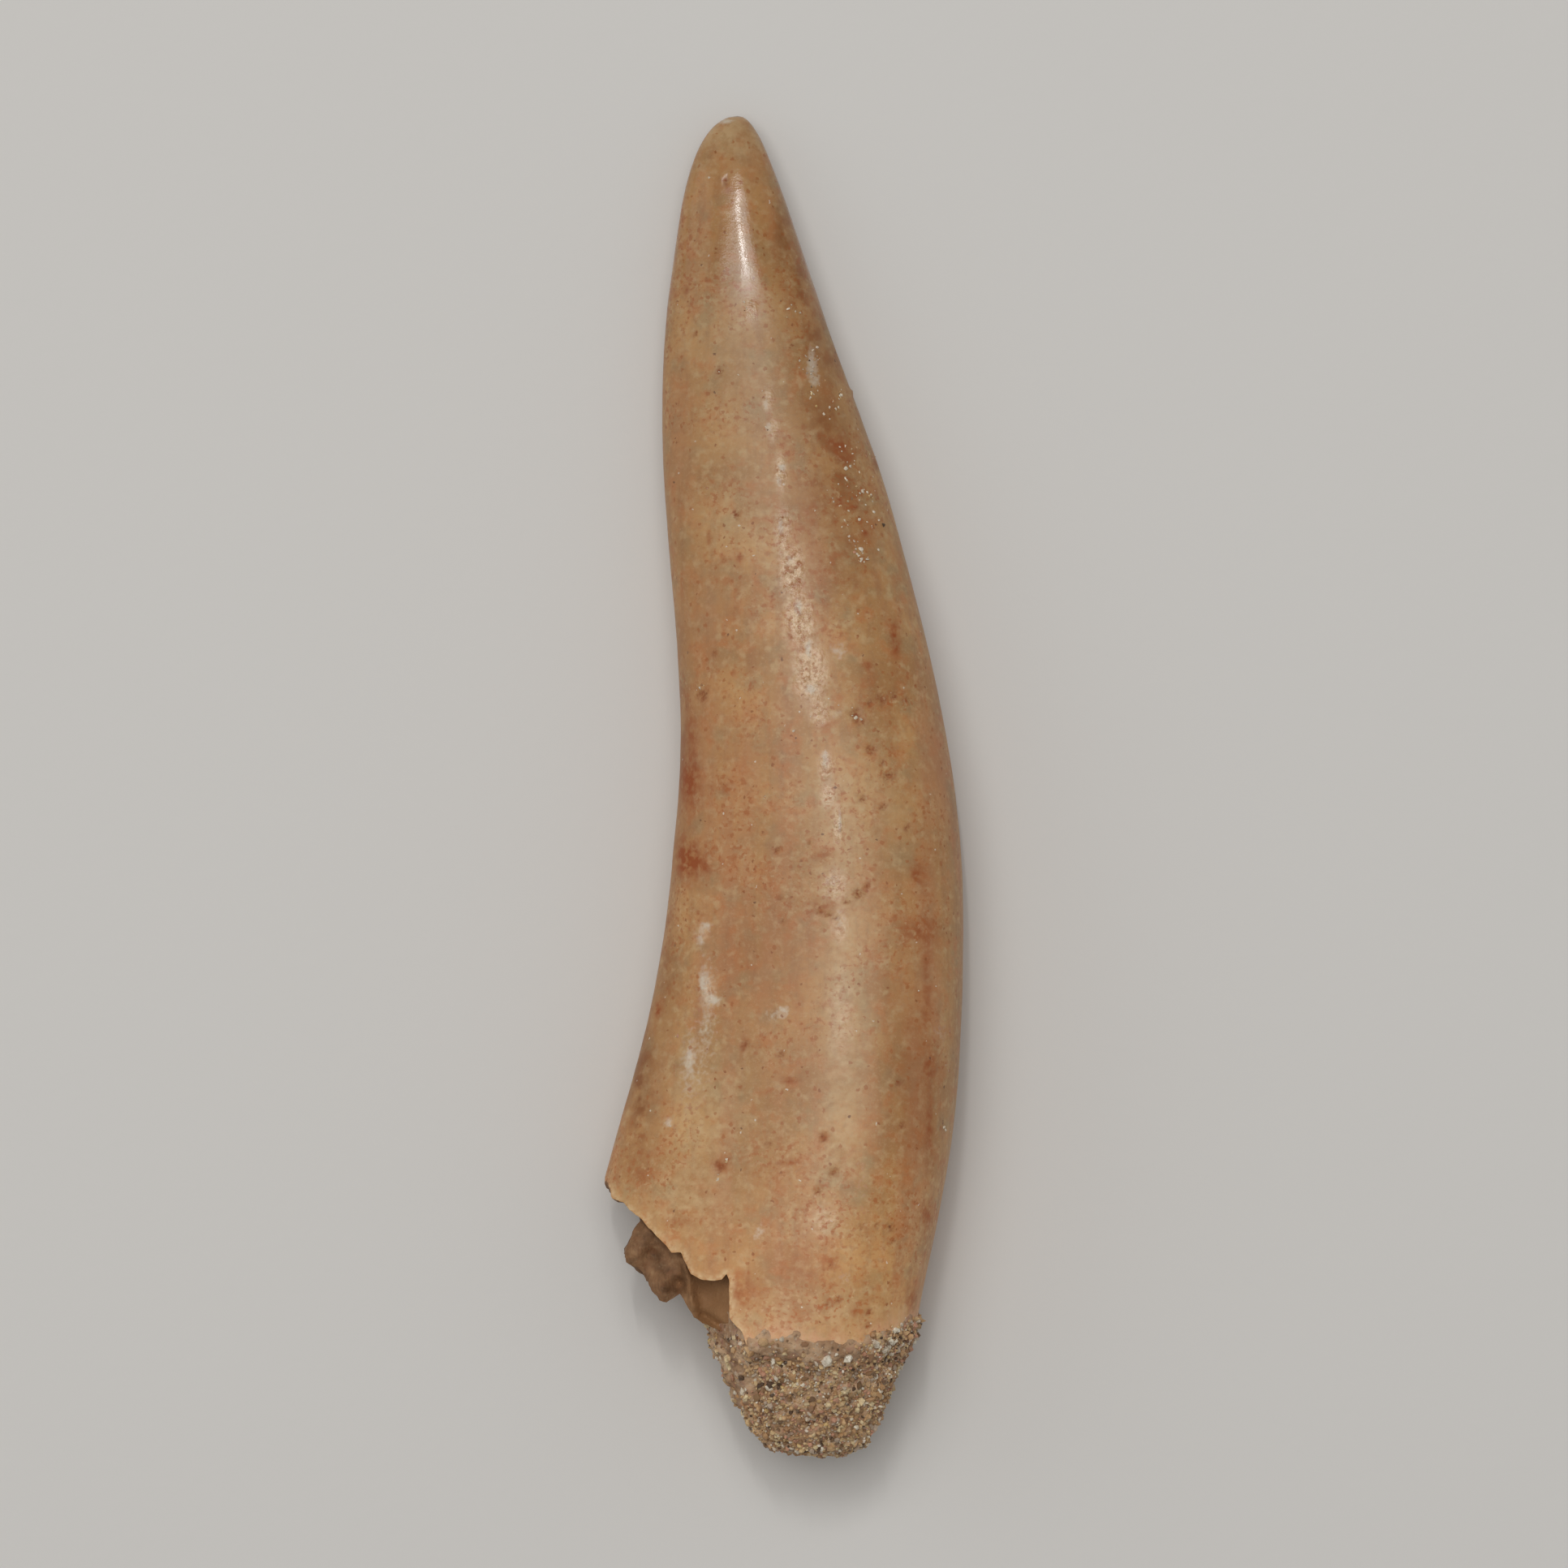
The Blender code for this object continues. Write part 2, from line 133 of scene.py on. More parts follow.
ROUGHNESS_SIZE = 0.9
CORNER_END_X = -2.2
# Past this x and this drop the break is outside the tooth, and left as it is.
BREAK_LIMITS = (-7.0, 42.0)
BREAK_RISE = 0.7
EDGE_STEP = 0.13
EDGE_CHIPS = 0.035
EDGE_CHIP_SIZE = 0.22
# Another number gives other chips. Unless it is set, the vector noise starts from the clock.
EDGE_SEED = 2
# A cut that leaves less than this share of a mesh's points has failed.
LEAST_LEFT = 0.5

# The exposed inside: a plane that falls to the left, with lumps (x, drop, height, reach).
CORE_LEVEL = 5.35
CORE_MIDDLE_X = -2.6
CORE_SLOPE = 0.33
CORE_LUMPS = (
    (-4.95, 38.15, 0.42, 0.50), (-4.10, 39.35, 0.40, 0.42), (-4.42, 38.25, -0.28, 0.30),
    (-3.48, 39.25, -0.45, 0.24), (-2.50, 39.70, -0.35, 0.60), (-4.45, 37.60, 0.18, 0.28),
)
CORE_RIDGE = ((-3.33, 38.45), (-3.02, 39.95), 0.36, 0.17)
CORE_CREASE = ((-2.70, 40.30), (-1.20, 41.20), -0.35, 0.16)
CORE_GRIT = 0.07
CORE_GRIT_SIZE = 0.28
# The smooth flute beside the wall: its middle as (x, drop), its reach and where it starts.
FLUTE = (-2.45, 39.8)
FLUTE_REACH_SQUARED = 0.4
FLUTE_SMOOTHNESS = 0.8
FLUTE_SPAN = (-3.6, -2.7)
BLOCK_STEP = 0.07
BLOCK_TOP = 10.0

# The pulp cavity, an oval cone.
CAVITY_X = 1.35
CAVITY_Z = 3.55
CAVITY_HALF_WIDTH = 2.2
CAVITY_HALF_HEIGHT = 1.75
CAVITY_TOP = 33.6
CAVITY_RING_SHARES = (0.0, 0.3, 0.6, 0.85, 0.97)

# The sandstone that shows, as (drop, left x, right x, top z, bottom z).
PLUG_STATIONS = (
    (40.9, -2.52, 4.40, 6.70, 0.30), (41.5, -2.42, 4.18, 6.50, 0.42),
    (42.4, -1.98, 3.75, 6.20, 0.70), (43.3, -1.60, 3.40, 5.85, 1.10),
    (44.0, -1.18, 3.16, 5.45, 1.50), (44.6, -0.70, 2.78, 4.95, 1.95),
)
PLUG_END = (45.0, 1.45, 3.45)
PLUG_CORNER_POWER = 0.85
PLUG_OVER_HEM = 0.75
HEM_BLEND = 0.9
GRAIN_ALLOWANCE = 0.05
PLUG_LUMPS = 0.24
PLUG_LUMP_SIZE = 0.55
PLUG_ROWS = 78
PLUG_COLUMNS = 210
PLUG_END_SHARES = (0.05, 0.95, 18)
# The rings of the plug inside the pulp cavity, and its gap there.
HIDDEN_RINGS = (0.5, 2.5, 5.0, 6.7)
CAVITY_GAP = 0.05
# The cement that laps over the hem: the x between which it starts, its rise, sink and grit.
LAP_SPAN = (-1.9, -1.1)
LAP_RISE = 0.18
LAP_SINK = 0.08
LAP_GRIT = 0.09
LAP_GRIT_SIZE = 0.45
# Bare cement: a line down the left as photo pixels, a strip along the hem, and the least z.
CEMENT_LINE = ((872, 1630), (905, 1705))
CEMENT_REACH = 0.75
CEMENT_STRIP = (-1.2, 2.5)
CEMENT_STRIP_END = 41.90
CEMENT_LEVEL = 2.4
CEMENT_BARE_SHARE = 0.93
GRAIN_TRIES = 40000
GRAINS_OVER_HEM = 0.22
GRAIN_SIZE_SPREAD = (0.8, 2.6)
GRAIN_CLOSENESS = 0.60
GRAIN_LIFT = 0.04
STUCK_GRAIN_SIZES = (0.04, 0.15)
STUCK_GRAIN_SINK = 0.12
PALE_GRAIN_SHARE = 0.7
ABOVE_THE_FANG = 20.0
# The share of all grains at which each colour starts.
SAND_COLOURS = (
    (0.0, "#CFA878"), (0.17, "#D8B886"), (0.33, "#B68C5E"), (0.46, "#E6D0A2"), (0.57, "#8C6A46"),
    (0.65, "#CB9678"), (0.73, "#BCA892"), (0.77, "#4C3725"), (0.83, "#E4D8C0"), (0.90, "#F2E8D2"),
    (0.95, "#DCBB7C"), (0.98, "#7C6650"),
)
# Grains past this share glint, and these two shares are a pale grain's and a white one's.
GLINTING_FROM = 0.83
PALE_GRAIN = 0.86
WHITE_GRAIN = 0.92

ENAMEL_IOR = 1.63
DENTINE_IOR = 1.54
SANDSTONE_IOR = 1.55
# The marks that the enamel's material reads, and the drops between which its polish fades in.
ENAMEL_MARKS = (
    "rust", "amber", "pink", "pale", "cream", "worn", "flecked", "pitted", "rim", "hem",
)
POLISHED_DROPS = (7.5, 5.0)
FLOOR_HALF_WIDTH = 1.5
SENSOR_WIDTH = 36.0
VIEWED_LEVEL = 2.6

# The photograph's pixel that lies on x = 0, the one on the point, and a pixel's size.
PHOTO_MIDDLE_X = 965.5
PHOTO_POINT_Y = 139.5
PHOTO_FANG_PIXELS = 1650
PHOTO_PIXEL = LENGTH / PHOTO_FANG_PIXELS
PHOTO_WIDTH = 1932

# Marks on the upper face by place, each as the photograph's x and y, half width, half length
# and strength.
RUST_STAINS = {
    "hollow edge": [
        (850, 962, 13, 30, 0.95), (848, 1058, 15, 26, 1.0), (868, 1066, 10, 12, 0.6),
        (893, 970, 14, 9, 0.4), (852, 905, 9, 26, 0.45), (811, 1244, 4, 8, 0.9),
    ],
    "bulged side": [(1103, 790, 6, 20, 0.85), (1098, 775, 5, 8, 0.4), (1129, 1077, 10, 16, 0.6)],
    "upper blot": [(1032, 548, 13, 12, 0.7), (1042, 562, 10, 9, 0.6)],
    "upper dot": [
        (1033, 620, 6, 6, 0.9), (1051, 627, 9, 3, 0.8), (1066, 656, 6, 6, 0.7), (1080, 570, 5, 8, 0.5),
        (1064, 690, 8, 5, 0.5),
    ],
    "worn crest": [(1001, 822, 8, 8, 0.95), (975, 785, 5, 4, 0.7), (1012, 895, 12, 6, 0.4)],
    "right of the crest": [(1067, 821, 6, 5, 0.7)], "crest": [(1014, 1053, 14, 9, 0.45)],
    "crack": [(1012, 1115, 16, 8, 0.45)],
    "bulged flank": [
        (1128, 1146, 24, 12, 0.5), (1141, 1212, 6, 60, 0.4), (1145, 1312, 10, 18, 0.6),
        (1144, 1392, 5, 48, 0.55), (1142, 1495, 7, 14, 0.6),
    ],
    "hem": [
        (1122, 1600, 6, 20, 0.6), (1025, 1549, 9, 10, 0.5), (1051, 1609, 6, 6, 0.5),
        (912, 1585, 24, 20, 0.5), (985, 1560, 30, 18, 0.3),
    ],
    "lower dash": [(970, 1428, 13, 3, 0.8), (973, 1328, 10, 4, 0.7)],
    "lower dot": [(918, 1284, 5, 9, 0.5), (1015, 1398, 5, 5, 0.7)],
    "left dash": [(874, 662, 3, 10, 0.6)],
    "left dot": [(892, 691, 4, 4, 0.8), (913, 688, 6, 5, 0.7), (905, 757, 5, 8, 0.5)],
    "near the point": [(845, 357, 4, 5, 0.6)], "point": [(895, 233, 6, 5, 0.4)],
    "corner": [(792, 1448, 12, 10, 0.45), (838, 1500, 20, 6, 0.35)],
    "lower left pit": [(888, 1432, 7, 5, 0.7), (896, 1424, 6, 4, 0.7)],
}
AMBER_STAINS_AND_EDGE_SHADE = {
    "bulged side by the point": [(966, 285, 11, 48, 0.8)],
    "bulged side": [(986, 350, 13, 42, 0.85), (1003, 410, 14, 34, 0.7), (1024, 452, 14, 26, 0.65)],
    "upper flank": [(1012, 520, 26, 34, 0.7), (1030, 590, 34, 50, 0.65)],
    "middle flank": [(1048, 680, 40, 50, 0.4)], "under the crest": [(1000, 590, 30, 60, 0.3)],
    # The hollow edge's marks are painted shade: the edge is darker where it turns away from the light.
    "hollow edge": [(842, 900, 12, 120, 0.55), (824, 1190, 12, 80, 0.6), (792, 1335, 20, 90, 1.0)],
    "bulged flank": [(1120, 1330, 30, 140, 0.3)], "hem": [(1005, 1600, 80, 26, 0.45)],
    "corner": [(775, 1430, 16, 26, 0.35)], "lower middle": [(940, 1440, 60, 40, 0.25)],
    "point": [(915, 160, 20, 12, 0.25)], "right of the worn crest": [(1085, 850, 26, 30, 0.35)],
}
PINK_BANDS = {
    "hollow side": [(842, 310, 16, 70, 0.6), (838, 560, 18, 110, 0.5)],
    "left of the worn crest": [(880, 760, 44, 60, 0.6)], "left middle": [(890, 960, 55, 130, 0.65)],
    "middle": [(950, 1180, 75, 60, 0.55)], "lower middle": [(975, 1290, 40, 60, 0.4)],
    "bulged edge": [(1150, 930, 26, 110, 0.65)], "bulged flank": [(1128, 1230, 26, 190, 0.5)],
    "above the hem": [(950, 1530, 60, 50, 0.5)], "right of the crest": [(1010, 640, 40, 60, 0.35)],
    "hem": [(930, 1632, 40, 14, 0.5)], "point": [(905, 200, 34, 60, 0.6)],
}
# The crest, line on the crest, upper crest, curl and left shoulder patches are painted highlights: the
# glints and the pale haze where the light catches the enamel.
PALE_PATCHES_AND_GLINTS = {
    "scratch": [(1000, 448, 8, 24, 0.75), (1006, 470, 9, 12, 0.5)],
    "beside the worn crest": [(1033, 803, 14, 13, 0.55)], "under it": [(1033, 880, 12, 7, 0.4)],
    "middle": [(965, 1243, 8, 8, 0.7), (950, 1250, 22, 12, 0.35)],
    "line on the crest": [(1034, 1014, 2.5, 16, 0.9)],
    "crest": [
        (1016, 942, 6, 9, 0.6), (962, 650, 5, 12, 0.7), (974, 692, 7, 10, 0.6), (984, 750, 7, 12, 0.8),
        (996, 800, 6, 14, 0.8), (1000, 850, 9, 9, 0.8), (1016, 930, 5, 9, 0.7), (1026, 1085, 14, 12, 0.5),
        (1034, 1130, 10, 20, 0.45),
    ],
    "bulged edge": [(1158, 1270, 14, 18, 0.4)], "lower streak": [(1062, 1460, 11, 60, 0.3)],
    "above the hem": [(936, 1514, 8, 14, 0.6)], "point": [(893, 147, 11, 4, 0.9)],
    "right of the hem": [(1040, 1568, 14, 14, 0.4)],
    "left shoulder": [
        (870, 1140, 7, 5, 0.7), (863, 1156, 4, 10, 0.6), (866, 1208, 4, 12, 0.9), (880, 1230, 8, 5, 0.9),
        (872, 1240, 16, 110, 0.42), (848, 1320, 16, 60, 0.45), (850, 1300, 4, 14, 0.7),
        (824, 1382, 6, 7, 0.7),
    ],
    "upper right": [(1070, 540, 10, 18, 0.3)], "hollow edge": [(820, 520, 6, 60, 0.25)],
    "upper crest": [(944, 500, 4, 10, 0.7), (947, 527, 4, 8, 0.7)],
    "curl": [(964, 577, 6, 5, 0.9), (960, 594, 4, 10, 0.7)],
}
CREAM_BANDS_AND_SHEEN = {
    # The crest bands are painted sheen: the broad gleam of the light along the crest.
    "crest": [(1042, 1190, 26, 130, 0.55), (1038, 1360, 28, 90, 0.5), (1030, 1020, 26, 60, 0.4)],
    "left lower": [(868, 1360, 50, 80, 0.5)], "corner": [(850, 1470, 60, 40, 0.45)],
    "hem": [(1000, 1608, 90, 22, 0.6)], "left of the crest": [(905, 640, 40, 50, 0.35)],
    "upper": [(905, 450, 45, 120, 0.3)], "point": [(900, 165, 44, 30, 0.8)],
    "right middle": [(1075, 990, 50, 60, 0.35)], "hem edge": [(905, 1600, 4, 26, 0.8)],
}
# The crest patches are real wear, and their pale crust colour also paints the crest's glints. The curl,
# line, upper crest, under the point, lower crest and left patches are painted glints.
WEAR_AND_GLINT_PATCHES = {
    "crest": [
        (965, 655, 10, 28, 0.7), (975, 705, 15, 30, 1.0), (985, 765, 17, 32, 1.0),
        (998, 830, 20, 34, 1.0), (1010, 880, 12, 16, 0.7), (1017, 945, 9, 16, 0.7),
        (1020, 980, 9, 14, 0.7), (1028, 1090, 14, 18, 0.7), (1034, 1140, 10, 20, 0.5),
    ],
    "curl": [(962, 584, 7, 20, 1.0)], "line": [(1032, 1016, 5, 22, 1.0)],
    "left shoulder": [(864, 1150, 9, 11, 0.5)], "left streak": [(873, 1220, 8, 20, 0.8)],
    "left line": [(850, 1302, 5, 14, 0.6)],
    "upper crest": [(946, 492, 7, 16, 0.5), (953, 530, 7, 14, 0.5)],
    "under the point": [(925, 385, 8, 14, 0.5)], "left dot": [(825, 1380, 5, 5, 0.5)],
    "lower crest": [(1035, 1250, 16, 60, 0.25)], "hem": [(1015, 1500, 20, 20, 0.3)],
}
FLECKED_PATCHES = {
    "above the hem": [(1010, 1500, 55, 55, 0.9)],
    "hem": [(1020, 1600, 60, 26, 1.0), (950, 1615, 40, 30, 0.7)],
    "bulged side": [(1095, 1500, 30, 90, 0.6)], "arc": [(1095, 866, 44, 12, 0.9)],
    "right of the worn crest": [(1090, 940, 30, 44, 0.6)],
    "right of the crest": [(1020, 1060, 40, 60, 0.7)], "upper flank": [(1045, 610, 34, 70, 0.8)],
    "left of the crest": [(900, 675, 34, 24, 0.7)], "beside the worn crest": [(985, 740, 44, 80, 0.5)],
    "below the point": [(910, 395, 40, 18, 0.6)], "left": [(850, 350, 24, 30, 0.6)],
    "bulged edge": [(985, 400, 20, 60, 0.7)], "corner": [(800, 1450, 40, 24, 0.8)],
    "lower middle": [(960, 1420, 60, 30, 0.6)], "middle": [(975, 1110, 50, 30, 0.6)],
    "left of the corner": [(850, 1500, 36, 18, 0.6)], "upper middle": [(915, 510, 60, 30, 0.4)],
}
# Pits, each as the photograph's (x, y, radius) and a depth in mm.
PITS = {
    "below the point": [(894, 222, 4, 0.06)], "left of the crest": [(886, 459, 4, 0.05)],
    "left": [(857, 411, 3, 0.04), (907, 636, 4, 0.06)],
    "hollow edge": [(865, 857, 6, 0.1), (880, 806, 3, 0.04)],
    "grey": [(1053, 882, 7, 0.1), (1062, 890, 4, 0.06)],
    "arc": [
        (1072, 868, 5, 0.06), (1087, 864, 5, 0.07), (1101, 859, 4, 0.05), (1116, 864, 4, 0.05),
        (1081, 860, 4, 0.05),
    ],
    "under the arc": [(1072, 924, 6, 0.07), (1086, 940, 4, 0.06)],
    "lower right": [
        (1094, 956, 6, 0.06), (1062, 984, 4, 0.05), (1088, 994, 4, 0.05), (1014, 1397, 5, 0.07),
    ],
    "right": [(1117, 1019, 4, 0.06)],
    "middle": [(957, 1048, 4, 0.06), (997, 1038, 3, 0.04), (961, 1106, 3, 0.05)],
    "by the crack": [(1057, 1100, 6, 0.08), (1067, 1091, 4, 0.05), (1043, 1110, 3, 0.05)],
    "left of the crack": [(963, 1134, 3, 0.05)],
    "lower left": [(888, 1434, 6, 0.12), (947, 1405, 3, 0.05)],
    "lower crest": [(1027, 1440, 5, 0.08), (1007, 1463, 4, 0.07)],
    "row": [(1061, 1506, 3, 0.05), (1079, 1505, 3, 0.05), (1096, 1508, 4, 0.06), (1099, 1524, 3, 0.05)],
    "hem": [
        (1033, 1594, 3, 0.05), (1019, 1601, 3, 0.05), (1070, 1611, 4, 0.07), (1069, 1628, 4, 0.07),
        (968, 1662, 5, 0.12),
    ],
    "right edge": [(1106, 1331, 4, 0.05), (1110, 1383, 4, 0.05)],
    "brown": [(918, 1286, 4, 0.05), (963, 1296, 3, 0.04)],
}
CRACK = {"start": (1008, 1122), "end": (1032, 1131), "width": 0.05, "depth": 0.06}
EDGE_BUMP = {"place": (1050, 482), "radius": 0.09, "height": 0.07}
# Sand grains stuck on the upper face, as the photograph's (x, y, spread, count).
STUCK_GRAINS = {
    "scratch": [(1000, 445, 9, 22), (1008, 476, 9, 12)],
    "bulged side": [(1034, 487, 5, 8), (1022, 503, 7, 8)],
    "flank": [
        (1046, 560, 12, 9), (1062, 606, 9, 14), (1060, 640, 14, 12), (1056, 676, 10, 16),
        (1045, 600, 30, 26),
    ],
    "worn crest": [(1010, 890, 14, 8)], "by the crest": [(1053, 884, 5, 4)],
    "hollow edge": [(863, 848, 3, 2)], "lower left": [(897, 1427, 3, 2), (885, 1448, 5, 2)],
    "upper left": [(885, 456, 2, 1)], "upper crest": [(938, 487, 3, 2), (948, 530, 5, 4)],
    "under the point": [(925, 378, 6, 5), (975, 378, 8, 5)], "left of the crest": [(938, 838, 3, 2)],
    "middle": [(941, 982, 3, 2)], "right flank": [(1131, 1222, 3, 1), (1140, 1280, 3, 1)],
    "left shoulder": [(828, 1386, 4, 3)], "left edge": [(834, 1275, 3, 2)], "left": [(825, 378, 2, 1)],
    "hem": [(1096, 1651, 10, 30), (1085, 1672, 14, 16), (1018, 1668, 8, 12), (960, 1678, 18, 8)],
    "right edge": [(1075, 560, 4, 3), (1166, 1390, 3, 2)],
}
# The largest white grains, each as the photograph's (x, y) and a width in mm.
WHITE_CRYSTALS = (
    (1018, 1669, 0.40), (1030, 1662, 0.22), (1097, 1648, 0.30), (1088, 1664, 0.24), (1104, 1634, 0.22),
    (948, 1704, 0.30), (913, 1672, 0.26), (952, 1688, 0.22), (990, 1700, 0.26), (1061, 1690, 0.24),
    (1060, 678, 0.20), (1052, 668, 0.14), (1068, 690, 0.13), (1062, 606, 0.14), (1041, 590, 0.10),
    (1046, 662, 0.12), (1036, 487, 0.13), (863, 848, 0.11), (886, 1449, 0.12), (1053, 885, 0.10),
)
HIDDEN_STAINS = 16
HIDDEN_PITS = 60
HIDDEN_DROPS = (3.0, 40.0)
PIT_SEED = 7
PIT_DEPTH = 0.5
PIT_GRIT_SIZE = 0.14
# The enamel's own unevenness, each as (step, height) in mm, and the step of the worn crest's.
ENAMEL_SWELLS = ((3.2, 0.022), (0.8, 0.005))
WORN_STEP = 0.26
# A normal's z between which a face counts as upper, and where the pale hem starts across.
UPPER_FACE_SPAN = (-0.5, -0.1)
HEM_SPAN = (-1.6, -1.1)
HEM_REACH = 0.9
RIM_WIDTH = 0.24
SHARP_ANGLE = 40

WALL_ROWS = 440
UPPER_COLUMNS = 158
LOWER_COLUMNS = 44
ROW_SPREAD = 1.12


def natural_spline(points):
    """A smooth curve through (drop, value) points, as a function of drop.

    It runs over the square root of the drop, so that a value which grows from nothing at
    the point of the tooth gives a rounded point.
    """
    knots = np.sqrt([p[0] for p in points])
    values = np.array([p[1] for p in points])
    steps = np.diff(knots)
    slopes = np.diff(values) / steps
    count = len(points)
    system = np.eye(count)
    right = np.zeros(count)
    for i in range(1, count - 1):
        system[i, i - 1 : i + 2] = steps[i - 1], 2 * (steps[i - 1] + steps[i]), steps[i]
        right[i] = 6 * (slopes[i] - slopes[i - 1])
    bends = np.linalg.solve(system, right)

    def value_at(drops):
        t = np.sqrt(np.maximum(drops, 0.0))
        i = np.clip(np.searchsorted(knots, t) - 1, 0, count - 2)
        h = steps[i]
        before, after = (knots[i + 1] - t) / h, (t - knots[i]) / h
        bend = (before**3 - before) * bends[i] + (after**3 - after) * bends[i + 1]
        return before * values[i] + after * values[i + 1] + bend * h * h / 6

    return value_at


hollow_x = natural_spline(HOLLOW_SIDE)
bulged_x = natural_spline(BULGED_SIDE)
upper_rise = natural_spline(UPPER_RISE)
lower_depth = natural_spline(LOWER_DEPTH)
crest_skew = natural_spline(CREST_SKEW)


def tooth_grid(drops, turns):
    """Points of the unbroken tooth, with a row for each drop and a column for each turn."""
    drops = np.asarray(drops)[:, None]
    turns = np.asarray(turns)[None, :]
    left, right = hollow_x(drops), bulged_x(drops)
    across = np.cos(turns)
    x = (left + right) / 2 + (right - left) / 2 * across
    edge_z = lower_depth(drops) + TIP_LIFT * np.maximum(1 - drops / LIFT_START, 0.0) ** 2
    share = np.minimum(drops / LENGTH, 1.0)
    roundness = ROUNDNESS[0] + (ROUNDNESS[1] - ROUNDNESS[0]) * share
    skew = crest_skew(drops)
    peak = (np.sqrt(1 + 8 * skew * skew) - 1) / (4 * skew)
    highest = np.sqrt(1 - peak * peak) * (1 + skew * peak)
    flank = np.maximum(1 - across * across, 0.0)
    crest = flank ** (roundness / 2) * (1 + skew * across) / highest
    past_flat = np.maximum(np.abs(across) - LOWER_FLAT_SHARE, 0.0) / (1 - LOWER_FLAT_SHARE)
    under = np.maximum(1 - past_flat * past_flat, 0.0) ** (roundness / 2)
    z = np.where(
        np.sin(turns) >= 0,
        edge_z + upper_rise(drops) * crest,
        edge_z - lower_depth(drops) * under,
    )
    y = np.broadcast_to(TIP_Y - drops, x.shape)
    return np.stack([x, y, z], axis=-1)


def mesh_from(name, points, faces, material=None):
    """A mesh object with its faces pointing out, from points in millimetres."""
    mesh = bpy.data.meshes.new(name)
    mesh.from_pydata((np.asarray(points) * MM).tolist(), [], faces)
    bm = bmesh.new()
    bm.from_mesh(mesh)
    bmesh.ops.recalc_face_normals(bm, faces=bm.faces)
    bm.to_mesh(mesh)
    bm.free()
    mesh.shade_smooth()
    obj = bpy.data.objects.new(name, mesh)
    bpy.context.scene.collection.objects.link(obj)
    if material:
        mesh.materials.append(material)
    return obj


def loft(name, rings, first_pole=None, last_pole=None, material=None):
    """Skins a row of rings with the same number of points, and closes both ends."""
    rings = np.asarray(rings, float)
    rows, sides = rings.shape[:2]
    points = rings.reshape(-1, 3).tolist()
    index = np.arange(rows * sides).reshape(rows, sides)
    following = np.roll(index, -1, axis=1)
    faces = np.stack([index[:-1], following[:-1], following[1:], index[1:]], axis=-1)
    faces = faces.reshape(-1, 4).tolist()
    for ring, pole, flipped in ((index[0], first_pole, True), (index[-1], last_pole, False)):
        order = ring[::-1].tolist() if flipped else ring.tolist()
        if pole is None:
            faces.append(order)
            continue
        points.append(list(pole))
        apex = len(points) - 1
        for i, corner in enumerate(order):
            faces.append([corner, order[(i + 1) % sides], apex])
    return mesh_from(name, points, faces, material)


def grit(point, size, octaves=3):
    """Fractal noise from about -1 to 1, with lumps of the given size."""
    return noise.fractal(Vector(point) / size, 1.0, 2.0, octaves)


def chipped(outline):
    """A polyline cut into short steps, each moved a little, as a chipped edge is."""
    line = []
    for (x0, d0), (x1, d1) in zip(outline, outline[1:]):
        steps = max(round(math.hypot(x1 - x0, d1 - d0) / EDGE_STEP), 1)
        for i in range(steps):
            x, drop = x0 + (x1 - x0) * i / steps, d0 + (d1 - d0) * i / steps
            push = noise.noise_vector(Vector((x, drop, 0.0)) / EDGE_CHIP_SIZE) * EDGE_CHIPS
            line.append((x + push.x, drop + push.y))
    line.append(outline[-1])
    return line


def near_line(x, drop, line):
    """A rounded ridge or groove that follows a straight line, fading past its ends."""
    (x0, d0), (x1, d1), height, reach = line
    run = (x1 - x0) ** 2 + (d1 - d0) ** 2
    along = ((x - x0) * (x1 - x0) + (drop - d0) * (d1 - d0)) / run
    along = min(max(along, 0.0), 1.0)
    dx, dd = x - x0 - along * (x1 - x0), drop - d0 - along * (d1 - d0)
    return height * math.exp(-(dx * dx + dd * dd) / (reach * reach))


def core_height(x, drop):
    """Height of the tooth's exposed inside, where the smooth wall is lost."""
    z = CORE_LEVEL + CORE_SLOPE * (x - CORE_MIDDLE_X)
    for lump_x, lump_drop, height, reach in CORE_LUMPS:
        away = (x - lump_x) ** 2 + (drop - lump_drop) ** 2
        z += height * math.exp(-away / (reach * reach))
    z += near_line(x, drop, CORE_RIDGE) + near_line(x, drop, CORE_CREASE)
    away = (x - FLUTE[0]) ** 2 + (drop - FLUTE[1]) ** 2
    rough = 1 - FLUTE_SMOOTHNESS * math.exp(-away / FLUTE_REACH_SQUARED)
    return z + CORE_GRIT * grit((x, drop, 3.0), CORE_GRIT_SIZE, 4) * rough


def ragged_break(x, drop, z):
    """The break through the lost corner is rough, and leans in under the tooth."""
    on_the_break = x > BREAK_LIMITS[0] and drop < BREAK_LIMITS[1]
    if not on_the_break:
        return x, drop
    lost = min(max(CORNER_END_X - x, 0.0), 1.0)
    lean = max(1 - z / WIDEST_LEVEL, 0.0)
    depth = min(max(ROUGH_BELOW - z, 0.0), 1.0)
    rough = FRACTURE_ROUGHNESS * abs(noise.noise_vector(Vector((x, drop, z)) / ROUGHNESS_SIZE).x)
    rough += CORE_GRIT * (grit((x, drop, z), CORE_GRIT_SIZE) + 0.5)
    pull = lost * (FRACTURE_SLANT * lean + rough * depth)
    return x + pull, drop - BREAK_RISE * pull


def prism(name, outline, levels, shifted, material):
    """An outline of (x, drop) points drawn through several levels, and moved at each by
    what shifted(x, drop, z) says."""
    rings = []
    for z in levels:
        moved = [shifted(x, drop, z) for x, drop in outline]
        rings.append([(x, TIP_Y - drop, z) for x, drop in moved])
    return loft(name, rings, material=material)


def upright(x, drop, z):
    return x, drop


